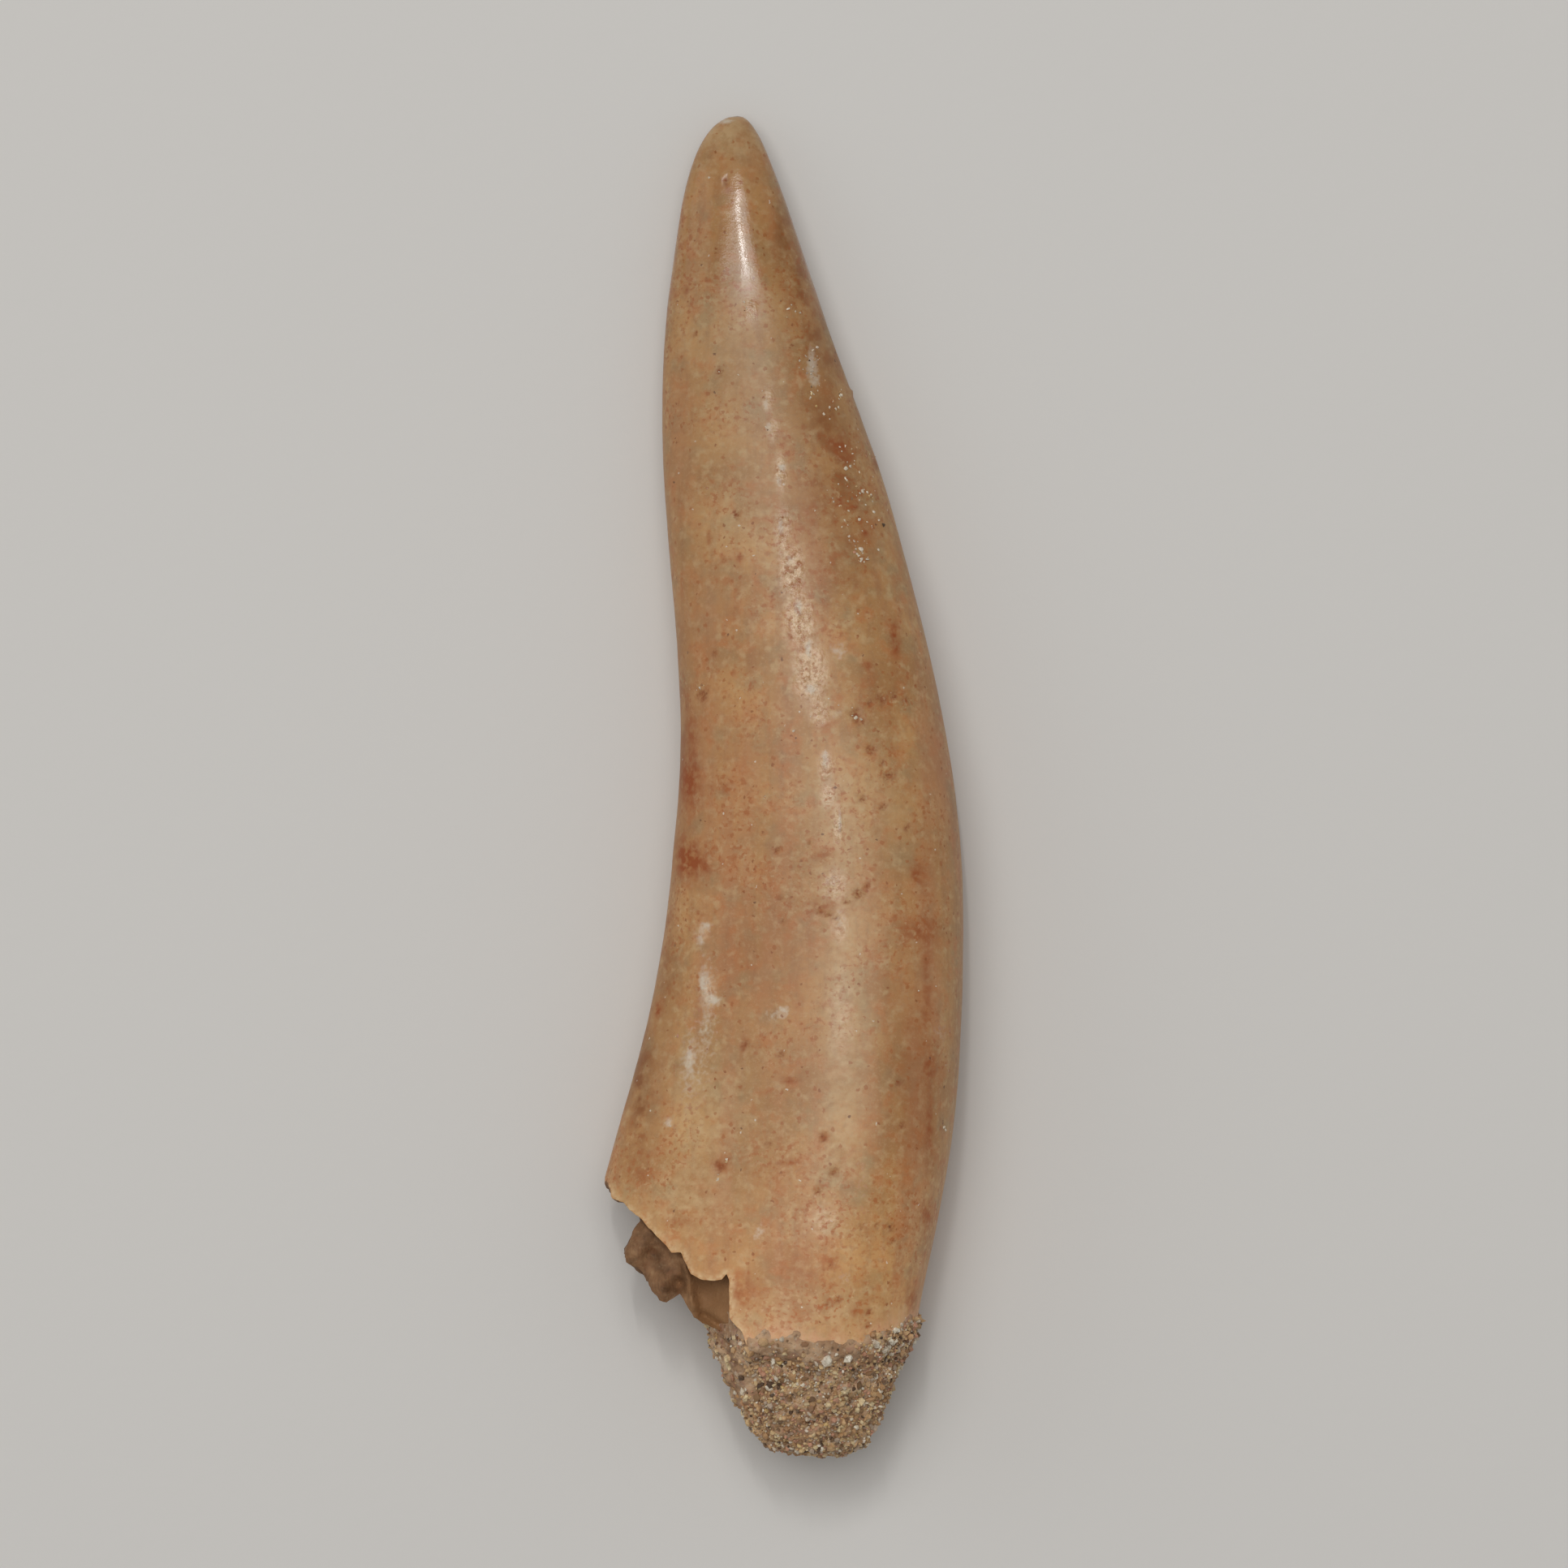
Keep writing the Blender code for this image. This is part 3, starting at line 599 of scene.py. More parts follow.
def exposed_inside_block(material):
    """Everything above the exposed inside. Its lower face is the lumpy surface."""
    xs = [-11.0, *np.arange(-6.2, -0.75, BLOCK_STEP), 0.0]
    drops = [35.0, *np.arange(35.9, 42.0, BLOCK_STEP), 45.0]
    points = [(x, TIP_Y - d, core_height(x, d)) for d in drops for x in xs]
    index = np.arange(len(points)).reshape(len(drops), len(xs))
    faces = np.stack([index[:-1, :-1], index[1:, :-1], index[1:, 1:], index[:-1, 1:]], axis=-1)
    faces = faces[:, :, ::-1].reshape(-1, 4).tolist()
    rim = [*index[0, :-1], *index[:-1, -1], *index[-1, :0:-1], *index[:0:-1, 0]]
    above = list(range(len(points), len(points) + len(rim)))
    points += [(points[i][0], points[i][1], BLOCK_TOP) for i in rim]
    for i in range(len(rim)):
        j = (i + 1) % len(rim)
        faces.append([int(rim[i]), int(rim[j]), above[j], above[i]])
    faces.append(above)
    return mesh_from("exposed_inside_block", points, faces, material)


def pulp_cavity(material):
    """The oval hollow that runs up into the base of the tooth."""
    turns = np.linspace(0, 2 * math.pi, 48, endpoint=False)
    rings = []
    for share in CAVITY_RING_SHARES:
        drop = BODY_END - share * (BODY_END - CAVITY_TOP)
        open_share = math.sqrt(max(1 - share * share, 0.0))
        x = CAVITY_X + CAVITY_HALF_WIDTH * open_share * np.cos(turns)
        z = CAVITY_Z + CAVITY_HALF_HEIGHT * open_share * np.sin(turns)
        rings.append(np.stack([x, np.full_like(x, TIP_Y - drop), z], axis=-1))
    apex = (CAVITY_X, TIP_Y - CAVITY_TOP, CAVITY_Z)
    return loft("pulp_cavity", rings, last_pole=apex, material=material)


def cut(obj, cutter, operation="DIFFERENCE"):
    """Cuts one closed mesh with another, whose material the new faces take.

    Where the first solver fails, the other one is tried.
    """
    whole = obj.data
    for solver in ("MANIFOLD", "EXACT"):
        modifier = obj.modifiers.new(cutter.name, "BOOLEAN")
        modifier.solver = solver
        modifier.operation = operation
        modifier.object = cutter
        modifier.material_mode = "TRANSFER"
        graph = bpy.context.evaluated_depsgraph_get()
        mesh = bpy.data.meshes.new_from_object(obj.evaluated_get(graph))
        obj.modifiers.clear()
        enough_left = len(mesh.vertices) > LEAST_LEFT * len(whole.vertices)
        if enough_left and len(mesh.polygons) != len(whole.polygons):
            obj.data = mesh
            return
    raise RuntimeError(f"{obj.name} couldn't be cut with {cutter.name}")


def linear(hex_colour):
    """An sRGB hex colour as the linear colour that shaders take."""
    values = [int(hex_colour[i : i + 2], 16) / 255 for i in (1, 3, 5)]
    return [v / 12.92 if v <= 0.04045 else ((v + 0.055) / 1.055) ** 2.4 for v in values]


def from_photo(x, y):
    """The place on the fang, as (x, drop), that a pixel of the photograph shows."""
    return (x - PHOTO_MIDDLE_X) * PHOTO_PIXEL, (y - PHOTO_POINT_Y) * PHOTO_PIXEL


def rows_of(table):
    """The rows of a table that is sorted by place, one after another."""
    return [row for rows in table.values() for row in rows]


def hem_drop(x):
    """Where the tooth ends above the sandstone, for a place across it."""
    return np.interp(x, [p[0] for p in BASE_HEM], [p[1] for p in BASE_HEM])


def smooth_step(value, low, high):
    share = np.clip((value - low) / (high - low), 0.0, 1.0)
    return share * share * (3 - 2 * share)


def mark_strength(marks, x, drop, sharpness=1.0):
    """How strongly a group of marks shows at each point: soft ovals, one over another."""
    clear = np.ones_like(x)
    for centre_x, centre_y, half_width, half_length, strength in marks:
        mark_x, mark_drop = from_photo(centre_x, centre_y)
        away = ((x - mark_x) / (half_width * PHOTO_PIXEL)) ** 2
        away += ((drop - mark_drop) / (half_length * PHOTO_PIXEL)) ** 2
        clear *= 1 - strength * np.exp(-(away**sharpness))
    return 1 - clear


def hidden_marks(kind_seed):
    """Stains of the same kind for the lower face, which the photograph doesn't show."""
    rng = np.random.default_rng(kind_seed)
    marks = []
    for _ in range(HIDDEN_STAINS):
        drop = rng.uniform(2.0, 40.0)
        share = rng.uniform(0.05, 0.95)
        x = float(hollow_x(drop) + (bulged_x(drop) - hollow_x(drop)) * share)
        place = (x / PHOTO_PIXEL + PHOTO_MIDDLE_X, drop / PHOTO_PIXEL + PHOTO_POINT_Y)
        marks.append((*place, rng.uniform(6, 26), rng.uniform(8, 60), rng.uniform(0.15, 0.5)))
    return marks


def edge_distance(x, drop, outline):
    """How far each point is from a polyline of (x, drop), as seen from above."""
    nearest = np.full_like(x, 1e9)
    for (x0, d0), (x1, d1) in zip(outline, outline[1:]):
        run = (x1 - x0) ** 2 + (d1 - d0) ** 2
        along = np.clip(((x - x0) * (x1 - x0) + (drop - d0) * (d1 - d0)) / run, 0.0, 1.0)
        away = np.hypot(x - x0 - along * (x1 - x0), drop - d0 - along * (d1 - d0))
        nearest = np.minimum(nearest, away)
    return nearest


def uncut_fang(material):
    """The unbroken tooth at full detail, with more columns on its upper face."""
    upper = np.linspace(0, math.pi, UPPER_COLUMNS, endpoint=False)
    lower = np.linspace(math.pi, 2 * math.pi, LOWER_COLUMNS, endpoint=False)
    drops = BODY_END * (np.arange(1, WALL_ROWS + 1) / WALL_ROWS) ** ROW_SPREAD
    rings = tooth_grid(drops, np.concatenate([upper, lower]))
    point = tooth_grid([0.0], [0.0])[0, 0]
    return loft("fossil_fang", rings, first_pole=point, material=material)


def broken_fang(wall_material, inside_material):
    """The tooth with its wall and corner broken away and its pulp cavity open."""
    noise.seed_set(EDGE_SEED)
    fang = uncut_fang(wall_material)
    block = exposed_inside_block(inside_material)

    # Both outlines follow the broken edge and are closed well outside the tooth.
    outside = [(-1.0, 44.0), (-10.0, 44.0), (-10.0, 35.6)]
    lost_wall = prism(
        "lost_wall", chipped(WALL_BREAK) + outside, (9.0, 6.4, 4.9, 1.0), upright, inside_material
    )
    outside = [(9.0, 40.3), (9.0, 48.0), (-10.0, 48.0), (-10.0, 35.6)]
    levels = [9.0, *np.arange(7.2, -0.3, -0.15), -1.0]
    edge = chipped(LOST_CORNER + BASE_HEM)
    lost_side = prism("lost_side", edge + outside, levels, ragged_break, inside_material)
    cavity = pulp_cavity(inside_material)
    cut(lost_wall, block, "INTERSECT")
    for cutter in (lost_wall, lost_side, cavity):
        cut(fang, cutter)
    for cutter in (block, lost_wall, lost_side, cavity):
        bpy.data.objects.remove(cutter)
    return fang


def point_values(mesh, name, values):
    """Keeps one number for each point of a mesh, for a material to read by name."""
    attribute = mesh.attributes.new(name, "FLOAT", "POINT")
    attribute.data.foreach_set("value", np.asarray(values, np.float32))


def weather(fang, wear_height):
    """Wears, pits and stains the fang's surface, point by point."""
    mesh = fang.data
    count = len(mesh.vertices)
    points = np.empty(count * 3, np.float32)
    mesh.vertices.foreach_get("co", points)
    points = points.reshape(-1, 3).astype(float) / MM
    normals = np.empty(count * 3, np.float32)
    mesh.vertex_normals.foreach_get("vector", normals)
    normals = normals.reshape(-1, 3).astype(float)
    x, drop = points[:, 0], TIP_Y - points[:, 1]

    inside = np.zeros(count)
    for face in mesh.polygons:
        if face.material_index == 1:
            inside[list(face.vertices)] = 1.0
    upper = smooth_step(normals[:, 2], *UPPER_FACE_SPAN)
    wall = 1 - inside

    # Some of these marks are painted light: the amber hollow edge is painted shade, the cream crest band
    # is painted sheen, and the pale and worn marks paint glints on the crest and the left shoulder.
    groups = {
        "rust": (RUST_STAINS, 1.0), "amber": (AMBER_STAINS_AND_EDGE_SHADE, 1.0), "pink": (PINK_BANDS, 1.0),
        "pale": (PALE_PATCHES_AND_GLINTS, 1.0), "cream": (CREAM_BANDS_AND_SHEEN, 1.0), "worn": (WEAR_AND_GLINT_PATCHES, 1.5),
        "flecked": (FLECKED_PATCHES, 1.0),
    }
    strengths = {}
    for seed, (name, (marks, sharpness)) in enumerate(groups.items()):
        shown = mark_strength(rows_of(marks), x, drop, sharpness)
        hidden = mark_strength(hidden_marks(seed), x, drop, sharpness)
        strengths[name] = shown * upper + hidden * (1 - upper)

    pitted = np.zeros(count)
    relief = np.zeros(count)
    ragged = np.array([grit(place, PIT_GRIT_SIZE, 2) for place in points])
    ragged = (0.9 + 0.9 * ragged).clip(0.3, 2.0)
    pits = [
        (*from_photo(pit_x, pit_y), radius * PHOTO_PIXEL, PIT_DEPTH * depth, upper)
        for pit_x, pit_y, radius, depth in rows_of(PITS)
    ]
    rng = np.random.default_rng(PIT_SEED)
    for _ in range(HIDDEN_PITS):
        centre_drop = rng.uniform(*HIDDEN_DROPS)
        share = rng.uniform(0.05, 0.95)
        centre_x = hollow_x(centre_drop) * (1 - share) + bulged_x(centre_drop) * share
        reach = rng.uniform(0.10, 0.20)
        pits.append((centre_x, centre_drop, reach, 0.2 * reach, 1 - upper))
    for centre_x, centre_drop, reach, depth, side in pits:
        away = ((x - centre_x) ** 2 + (drop - centre_drop) ** 2) / (reach * reach)
        dent = np.exp(-((away * ragged) ** 1.5)) * side
        relief -= depth * dent
        pitted = np.maximum(pitted, dent)

    crack = [from_photo(*CRACK["start"]), from_photo(*CRACK["end"])]
    split = np.exp(-((edge_distance(x, drop, crack) / CRACK["width"]) ** 2)) * upper
    relief -= CRACK["depth"] * split
    pitted = np.maximum(pitted, split)
    bump_x, bump_drop = from_photo(*EDGE_BUMP["place"])
    away = np.hypot(x - bump_x, drop - bump_drop) / EDGE_BUMP["radius"]
    relief += EDGE_BUMP["height"] * np.exp(-(away**2))

    worn = strengths["worn"]
    for i in range(count):
        if inside[i]:
            continue
        place = points[i]
        relief[i] += sum(height * grit(place, step, 2) for step, height in ENAMEL_SWELLS)
        if worn[i] > 0.02:
            relief[i] += worn[i] * wear_height * (grit(place, WORN_STEP, 3) - 0.4)

    hem_near = smooth_step(hem_drop(x) - drop, HEM_REACH, 0.0) * smooth_step(x, *HEM_SPAN)
    rim = smooth_step(edge_distance(x, drop, WALL_BREAK), RIM_WIDTH, RIM_WIDTH / 4) * upper * wall
    points += normals * (relief * wall)[:, None]
    points[:, 2] = np.maximum(points[:, 2], 0.0)
    mesh.vertices.foreach_set("co", (points * MM).astype(np.float32).ravel())
    mesh.update()

    strengths.update(pitted=pitted, rim=rim, hem=hem_near)
    for name, values in strengths.items():
        point_values(mesh, name, values)
    mesh.set_sharp_from_angle(angle=math.radians(SHARP_ANGLE))


def plug_section(drop):
    """Middle and half sizes of the sandstone that shows, at a drop."""
    stations = np.array(PLUG_STATIONS)
    left, right, top, bottom = (
        float(np.interp(drop, stations[:, 0], stations[:, column])) for column in (1, 2, 3, 4)
    )
    if drop < stations[0, 0]:
        right = float(bulged_x(drop))
    return (left + right) / 2, (top + bottom) / 2, (right - left) / 2, (top - bottom) / 2


def tooth_level(x, drop, above):
    """Height of the tooth's own surface at a place, on its upper or its lower face."""
    left, right = float(hollow_x(drop)), float(bulged_x(drop))
    turn = math.acos(min(max((2 * x - left - right) / (right - left), -1.0), 1.0))
    return float(tooth_grid([drop], [turn if above else -turn])[0, 0, 2])


def plug_point(share, turn):
    """A point of the sandstone, from just over the hem at 0 to its blunt end at 1.

    Beside the hem it follows the tooth's own surface, so that its cement laps over the edge
    of the enamel in a ragged line instead of leaving a step.
    """
    first, last = PLUG_STATIONS[0][0], PLUG_STATIONS[-1][0]
    x, _, half_width, _ = plug_section(first + share * (last - first))
    hem = float(hem_drop(x + half_width * math.cos(turn)))
    drop = hem - PLUG_OVER_HEM + share * (last - hem + PLUG_OVER_HEM)
    x, z, half_width, half_height = plug_section(drop)
    across = math.copysign(abs(math.cos(turn)) ** PLUG_CORNER_POWER, math.cos(turn))
    up = math.copysign(abs(math.sin(turn)) ** PLUG_CORNER_POWER, math.sin(turn))
    out = Vector((across, 0.0, up)).normalized()
    point = Vector((x + half_width * across, TIP_Y - drop, z + half_height * up))
    beside_hem = 1 - float(smooth_step(drop, hem, hem + HEM_BLEND))
    beside_hem *= float(smooth_step(point.x, *LAP_SPAN))
    level = tooth_level(point.x, drop, up > 0)
    point.z += (level - point.z) * beside_hem
    lap = float(smooth_step(drop, hem - PLUG_OVER_HEM, hem))
    swell = LAP_RISE * lap - LAP_SINK + LAP_GRIT * grit(point, LAP_GRIT_SIZE, 4)
    swell = swell * beside_hem - GRAIN_ALLOWANCE
    swell += grit(point, PLUG_LUMP_SIZE, 4) * PLUG_LUMPS * float(smooth_step(share, 0.1, 0.3))
    point += out * swell
    point.z = max(point.z, 0.01)
    return point


def sandstone_core(material):
    """The body of the plug, lumpy, with its top pushed up into the pulp cavity."""
    turns = [2 * math.pi * i / PLUG_COLUMNS for i in range(PLUG_COLUMNS)]
    rings = []
    for depth in HIDDEN_RINGS:
        drop = CAVITY_TOP + depth
        open_share = math.sqrt(max(1 - ((BODY_END - drop) / (BODY_END - CAVITY_TOP)) ** 2, 0.0))
        x = CAVITY_X + (CAVITY_HALF_WIDTH * open_share - CAVITY_GAP) * np.cos(turns)
        z = CAVITY_Z + (CAVITY_HALF_HEIGHT * open_share - CAVITY_GAP) * np.sin(turns)
        rings.append(np.stack([x, np.full_like(x, TIP_Y - drop), z], axis=-1))
    rings.append([
        plug_point(0.0, turn).lerp(Vector(inner), 0.35) for inner, turn in zip(rings[-1], turns)
    ])
    for row in range(PLUG_ROWS + 1):
        rings.append([plug_point(row / PLUG_ROWS, turn) for turn in turns])
    end_drop, end_x, end_z = PLUG_END
    end = Vector((end_x, TIP_Y - end_drop, end_z))
    rim = [Vector(p) for p in rings[-1]]
    for share in np.linspace(*PLUG_END_SHARES):
        fall = math.sqrt(1 - (1 - share) ** 2)
        ring = []
        for start in rim:
            point = start.lerp(end, share)
            point.y = start.y + (end.y - start.y) * fall
            point.y += 0.5 * PLUG_LUMPS * grit(point, PLUG_LUMP_SIZE, 4)
            ring.append(point)
        rings.append(ring)
    rows = [[list(p) for p in ring] for ring in rings]
    top = (CAVITY_X, TIP_Y - CAVITY_TOP - 0.2, CAVITY_Z)
    return loft("sandstone_core", rows, first_pole=top, last_pole=end, material=material)


def grain_shape():
    """The twelve corners and twenty faces of a rough ball, the start of each grain."""
    bm = bmesh.new()
    bmesh.ops.create_icosphere(bm, subdivisions=1, radius=0.5)
    corners = np.array([v.co for v in bm.verts])
    faces = np.array([[v.index for v in f.verts] for f in bm.faces])
    bm.free()
    return corners, faces


def grains_at(places, sizes, rng):
    """Corners and faces of angular grains, each with a shape and turn of its own."""
    corners, faces = grain_shape()
    count = len(places)
    shapes = corners[None] * (1 + rng.uniform(-0.42, 0.36, (count, len(corners), 1)))
    shapes = shapes * rng.uniform(0.65, 1.30, (count, 1, 3))
    quaternions = rng.normal(size=(count, 4))
    quaternions /= np.linalg.norm(quaternions, axis=1, keepdims=True)
    w, a, b, c = quaternions.T
    turn = np.stack([
        np.stack([1 - 2 * (b * b + c * c), 2 * (a * b - c * w), 2 * (a * c + b * w)], -1),
        np.stack([2 * (a * b + c * w), 1 - 2 * (a * a + c * c), 2 * (b * c - a * w)], -1),
        np.stack([2 * (a * c - b * w), 2 * (b * c + a * w), 1 - 2 * (a * a + b * b)], -1),
    ], 1)
    turned = np.einsum("nij,nkj->nki", turn, shapes)
    points = places[:, None, :] + turned * sizes[:, None, None]
    indices = faces[None] + (np.arange(count) * len(corners))[:, None, None]
    return points.reshape(-1, 3), indices.reshape(-1, 3), len(corners)


def surface_samples(obj, count, rng):
    """Random places spread evenly over a mesh, with the way out at each."""
    mesh = obj.data
    mesh.calc_loop_triangles()
    triangles = np.empty(len(mesh.loop_triangles) * 3, np.int32)
    mesh.loop_triangles.foreach_get("vertices", triangles)
    triangles = triangles.reshape(-1, 3)
    points = np.array([v.co for v in mesh.vertices]) / MM
    a, b, c = points[triangles[:, 0]], points[triangles[:, 1]], points[triangles[:, 2]]
    crosses = np.cross(b - a, c - a)
    areas = np.linalg.norm(crosses, axis=1)
    chosen = rng.choice(len(areas), size=count, p=areas / areas.sum())
    u, v = rng.random(count), rng.random(count)
    u, v = np.where(u + v > 1, 1 - u, u), np.where(u + v > 1, 1 - v, v)
    places = a[chosen] + (b - a)[chosen] * u[:, None] + (c - a)[chosen] * v[:, None]
    return places, crosses[chosen] / areas[chosen][:, None]


def spaced(places, sizes, closeness, most):
    """Which places to keep so that no two grains sit in each other."""
    kept = []
    for i in range(len(places)):
        if kept:
            away = np.linalg.norm(places[kept] - places[i], axis=1)
            if (away < closeness * (sizes[kept] + sizes[i]) / 2).any():
                continue
        kept.append(i)
        if len(kept) == most:
            break
    return np.array(kept)


def grain_mesh(name, places, sizes, kinds, rng, material):
    """One mesh of many grains, with a number for each grain that its colour comes from."""
    points, faces, corners = grains_at(places, sizes, rng)
    mesh = bpy.data.meshes.new(name)
    mesh.from_pydata((points * MM).tolist(), [], faces.tolist())
    mesh.shade_flat()
    mesh.materials.append(material)
    point_values(mesh, "grain", np.repeat(kinds, corners))
    obj = bpy.data.objects.new(name, mesh)
    bpy.context.scene.collection.objects.link(obj)
    return obj


def bare_cement(places):
    """Where the cement holds few grains: down the plug's left side, and along the hem."""
    x, drop = places[:, 0], TIP_Y - places[:, 1]
    line = [from_photo(*end) for end in CEMENT_LINE]
    left = edge_distance(x, drop, line) < CEMENT_REACH
    hem = (x > CEMENT_STRIP[0]) & (x < CEMENT_STRIP[1])
    hem &= drop < CEMENT_STRIP_END - 0.12 * np.abs(x - 1.2)
    return (left | hem) & (places[:, 2] > CEMENT_LEVEL)


def add(tree, kind, settings=None, links=None):
    """Adds a node with its settings, and its inputs: values, hex colours or other outputs."""
    made = tree.nodes.new("ShaderNode" + kind)
    for name, value in (settings or {}).items():
        setattr(made, name, value)
    for socket, value in (links or {}).items():
        if isinstance(value, bpy.types.NodeSocket):
            tree.links.new(value, made.inputs[socket])
        else:
            made.inputs[socket].default_value = opaque(value) if isinstance(value, str) else value
    return made


def new_material(name):
    """An empty material with its node tree, and the place on the object to draw by."""
    material = bpy.data.materials.new(name)
    material.use_nodes = True
    tree = material.node_tree
    tree.nodes.clear()
    return material, tree, add(tree, "TexCoord").outputs["Object"]


def per_metre(size_mm):
    """The scale that draws a pattern with a step of that many millimetres."""
    return 1 / (size_mm * MM)


def opaque(hex_colour):
    return (*linear(hex_colour), 1.0)


def cloudy(tree, vector, size, detail, span, most=1.0, least=0.0):
    """Noise with clouds of a size in millimetres, spread from a span of its own values."""
    clouds = add(
        tree, "TexNoise", links={"Vector": vector, "Scale": per_metre(size), "Detail": detail}
    )
    return add(
        tree, "MapRange",
        links={
            "Value": clouds.outputs[0], "From Min": span[0], "From Max": span[1],
            "To Min": least, "To Max": most,
        },
    ).outputs[0]


def layered(tree, under, over, amount, mark=None):
    """Lays one colour over another by an amount, and only on a mark where one is given."""
    if mark:
        amount = add(
            tree, "Math", {"operation": "MULTIPLY", "use_clamp": True}, {0: amount, 1: mark}
        ).outputs[0]
    return add(tree, "Mix", {"data_type": "RGBA"}, {0: amount, 6: under, 7: over}).outputs[2]


def uneven(tree, vector, size, height, detail, normal=None, mark=None):
    """Bumps of a size and height in millimetres, on top of the bumps made before them."""
    bumps = add(
        tree, "TexNoise", links={"Vector": vector, "Scale": per_metre(size), "Detail": detail}
    ).outputs[0]
    if mark:
        bumps = add(tree, "Math", {"operation": "MULTIPLY"}, {0: bumps, 1: mark}).outputs[0]
    links = {"Height": bumps, "Distance": height * MM}
    if normal:
        links["Normal"] = normal
    return add(tree, "Bump", links=links).outputs[0]


def surface(tree, inputs):
    """Ends a material with its shader and its output."""
    shader = add(tree, "BsdfPrincipled", links=inputs)
    add(tree, "OutputMaterial", links={"Surface": shader.outputs[0]})


def enamel_material(look):
    """Fossil enamel, stained by the ground and worn smooth.

    The eye gets a hard gloss over faint growth rings, a mottled tan with red iron stains and
    amber bands, and small dark pits and pale specks of sand in the surface.
    """
    material, tree, place = new_material("fossil_enamel_worn_smooth")
    along, around = (
        add(tree, "Mapping", links={"Vector": place, "Scale": squeezed}).outputs[0]
        for squeezed in ((1.0, 0.13, 0.8), (0.16, 1.0, 0.16))
    )
    marks = {
        name: add(tree, "Attribute", {"attribute_name": name}).outputs["Fac"]
        for name in ENAMEL_MARKS
    }

    # Mottling: soft clouds, then streaks, growth rings and flecks, each a faint change.
    colour = layered(
        tree, (*look.dark_tan, 1.0), (*look.light_tan, 1.0),
        cloudy(tree, place, 2.4, 6.0, (0.36, 0.64)),
    )
    for vector, size, start, strength, hex_colour in (
        (along, 1.30, 0.50, 0.45, "#B0724F"), (place, 1.00, 0.52, 0.50, "#98845E"),
        (along, 0.34, 0.50, 0.30, "#8E5E38"), (around, 0.34, 0.50, 0.10, "#C8A67A"),
        (place, 0.60, 0.50, 0.55, "#B66F38"), (place, 0.34, 0.52, 0.50, "#C8AA7C"),
        (place, 0.18, 0.52, 0.30, "#8E5A30"), (place, 0.09, 0.52, 0.28, "#C9A679"),
    ):
        amount = cloudy(tree, vector, size, 4.0, (start, start + 0.18), strength)
        colour = layered(tree, colour, hex_colour, amount)

    # Each mark, stain or painted light, is broken up by noise of its own grain, so that its edge isn't a
    # smooth oval.
    for name, hex_colour, size, vector, strength in (
        # cream: cream bands, and painted sheen along the crest
        ("pink", "#B07049", 0.9, along, 0.50), ("cream", "#CBAA7C", 0.32, place, 0.85),
        # amber: the amber stains, and painted shade along the hollow edge
        ("amber", "#8A5321", 0.6, place, 0.90), ("rust", "#964810", 0.28, place, 1.25),
        # worn: pale crusts of real wear, and painted glints on the crest and the left shoulder
        ("worn", "#E4C4A0", 0.20, place, 0.90), ("hem", "#D0A480", 0.30, place, 0.60),
        ("rim", "#CBAA7E", 0.25, place, 0.85), ("pitted", "#8A4A1E", 0.10, place, 0.90),
    ):
        amount = cloudy(tree, vector, size, 5.0, (0.38, 0.60), 1.25 * strength, 0.35 * strength)
        colour = layered(tree, colour, hex_colour, amount, marks[name])

    # Brown pits between the peach-coloured crusts and the painted glints of the worn crest.
    eaten = cloudy(tree, place, 0.24, 4.0, (0.50, 0.62), 0.85)
    colour = layered(tree, colour, "#A05C28", eaten, marks["worn"])

    # Chalky scratches and crusts, with crisp ragged edges. The same pale mark also paints highlights:
    # glints on the crest and the curl, and the pale haze on the left shoulder.
    patchy = add(tree, "TexNoise", links={"Vector": place, "Scale": per_metre(0.15), "Detail": 4.0})
    chalk = add(tree, "Math", {"operation": "ADD"}, {0: marks["pale"], 1: patchy.outputs[0]})
    chalk = add(
        tree, "MapRange",
        links={"Value": chalk.outputs[0], "From Min": 0.80, "From Max": 1.30, "To Max": 0.75},
    )
    colour = layered(tree, colour, "#D6CAB6", chalk.outputs[0])

    # Flecks of iron stain that keep together in patches a few millimetres wide.
    patches = cloudy(tree, place, 2.6, 2.0, (0.48, 0.60), 0.6)
    patches = add(tree, "Math", {"operation": "MAXIMUM"}, {0: patches, 1: marks["flecked"]})
    for size, start, strength, hex_colour in (
        (0.30, 0.57, 0.60, "#9C5522"), (0.15, 0.56, 0.75, "#A65A20"), (0.20, 0.60, 0.45, "#D0B184"),
    ):
        amount = cloudy(tree, place, size, 3.0, (start, start + 0.08), strength)
        colour = layered(tree, colour, hex_colour, amount, patches.outputs[0])

    # Specks, as the middle of a share of the cells: brown ones 0.1 and 0.15 mm wide, and pale
    # ones 0.07 mm wide.
    wobble = add(tree, "TexNoise", links={"Vector": place, "Scale": per_metre(0.12), "Detail": 2.0})
    wobble = add(
        tree, "VectorMath", {"operation": "SCALE"}, {0: wobble.outputs["Color"], "Scale": 0.16 * MM}
    )
    moved = add(tree, "VectorMath", {"operation": "ADD"}, {0: place, 1: wobble.outputs[0]})
    for size, radius, share, hex_colour, strength in (
        (0.45, 0.050, 0.09, "#6A4023", 0.75), (0.32, 0.050, 0.16, "#8E5020", 0.75),
        (0.50, 0.035, 0.40, "#D8CDBB", 0.75), (0.28, 0.075, 0.20, "#A05A24", 0.60),
    ):
        cells = add(
            tree, "TexVoronoi", links={"Vector": moved.outputs[0], "Scale": per_metre(size)}
        )
        dot = add(
            tree, "MapRange",
            links={
                "Value": cells.outputs["Distance"], "From Min": 1.15 * radius / size,
                "From Max": 0.75 * radius / size, "To Max": strength,
            },
        )
        chance = add(tree, "SeparateColor", links={0: cells.outputs["Color"]}).outputs[0]
        chosen = add(tree, "Math", {"operation": "LESS_THAN"}, {0: chance, 1: share})
        colour = layered(tree, colour, hex_colour, dot.outputs[0], chosen.outputs[0])
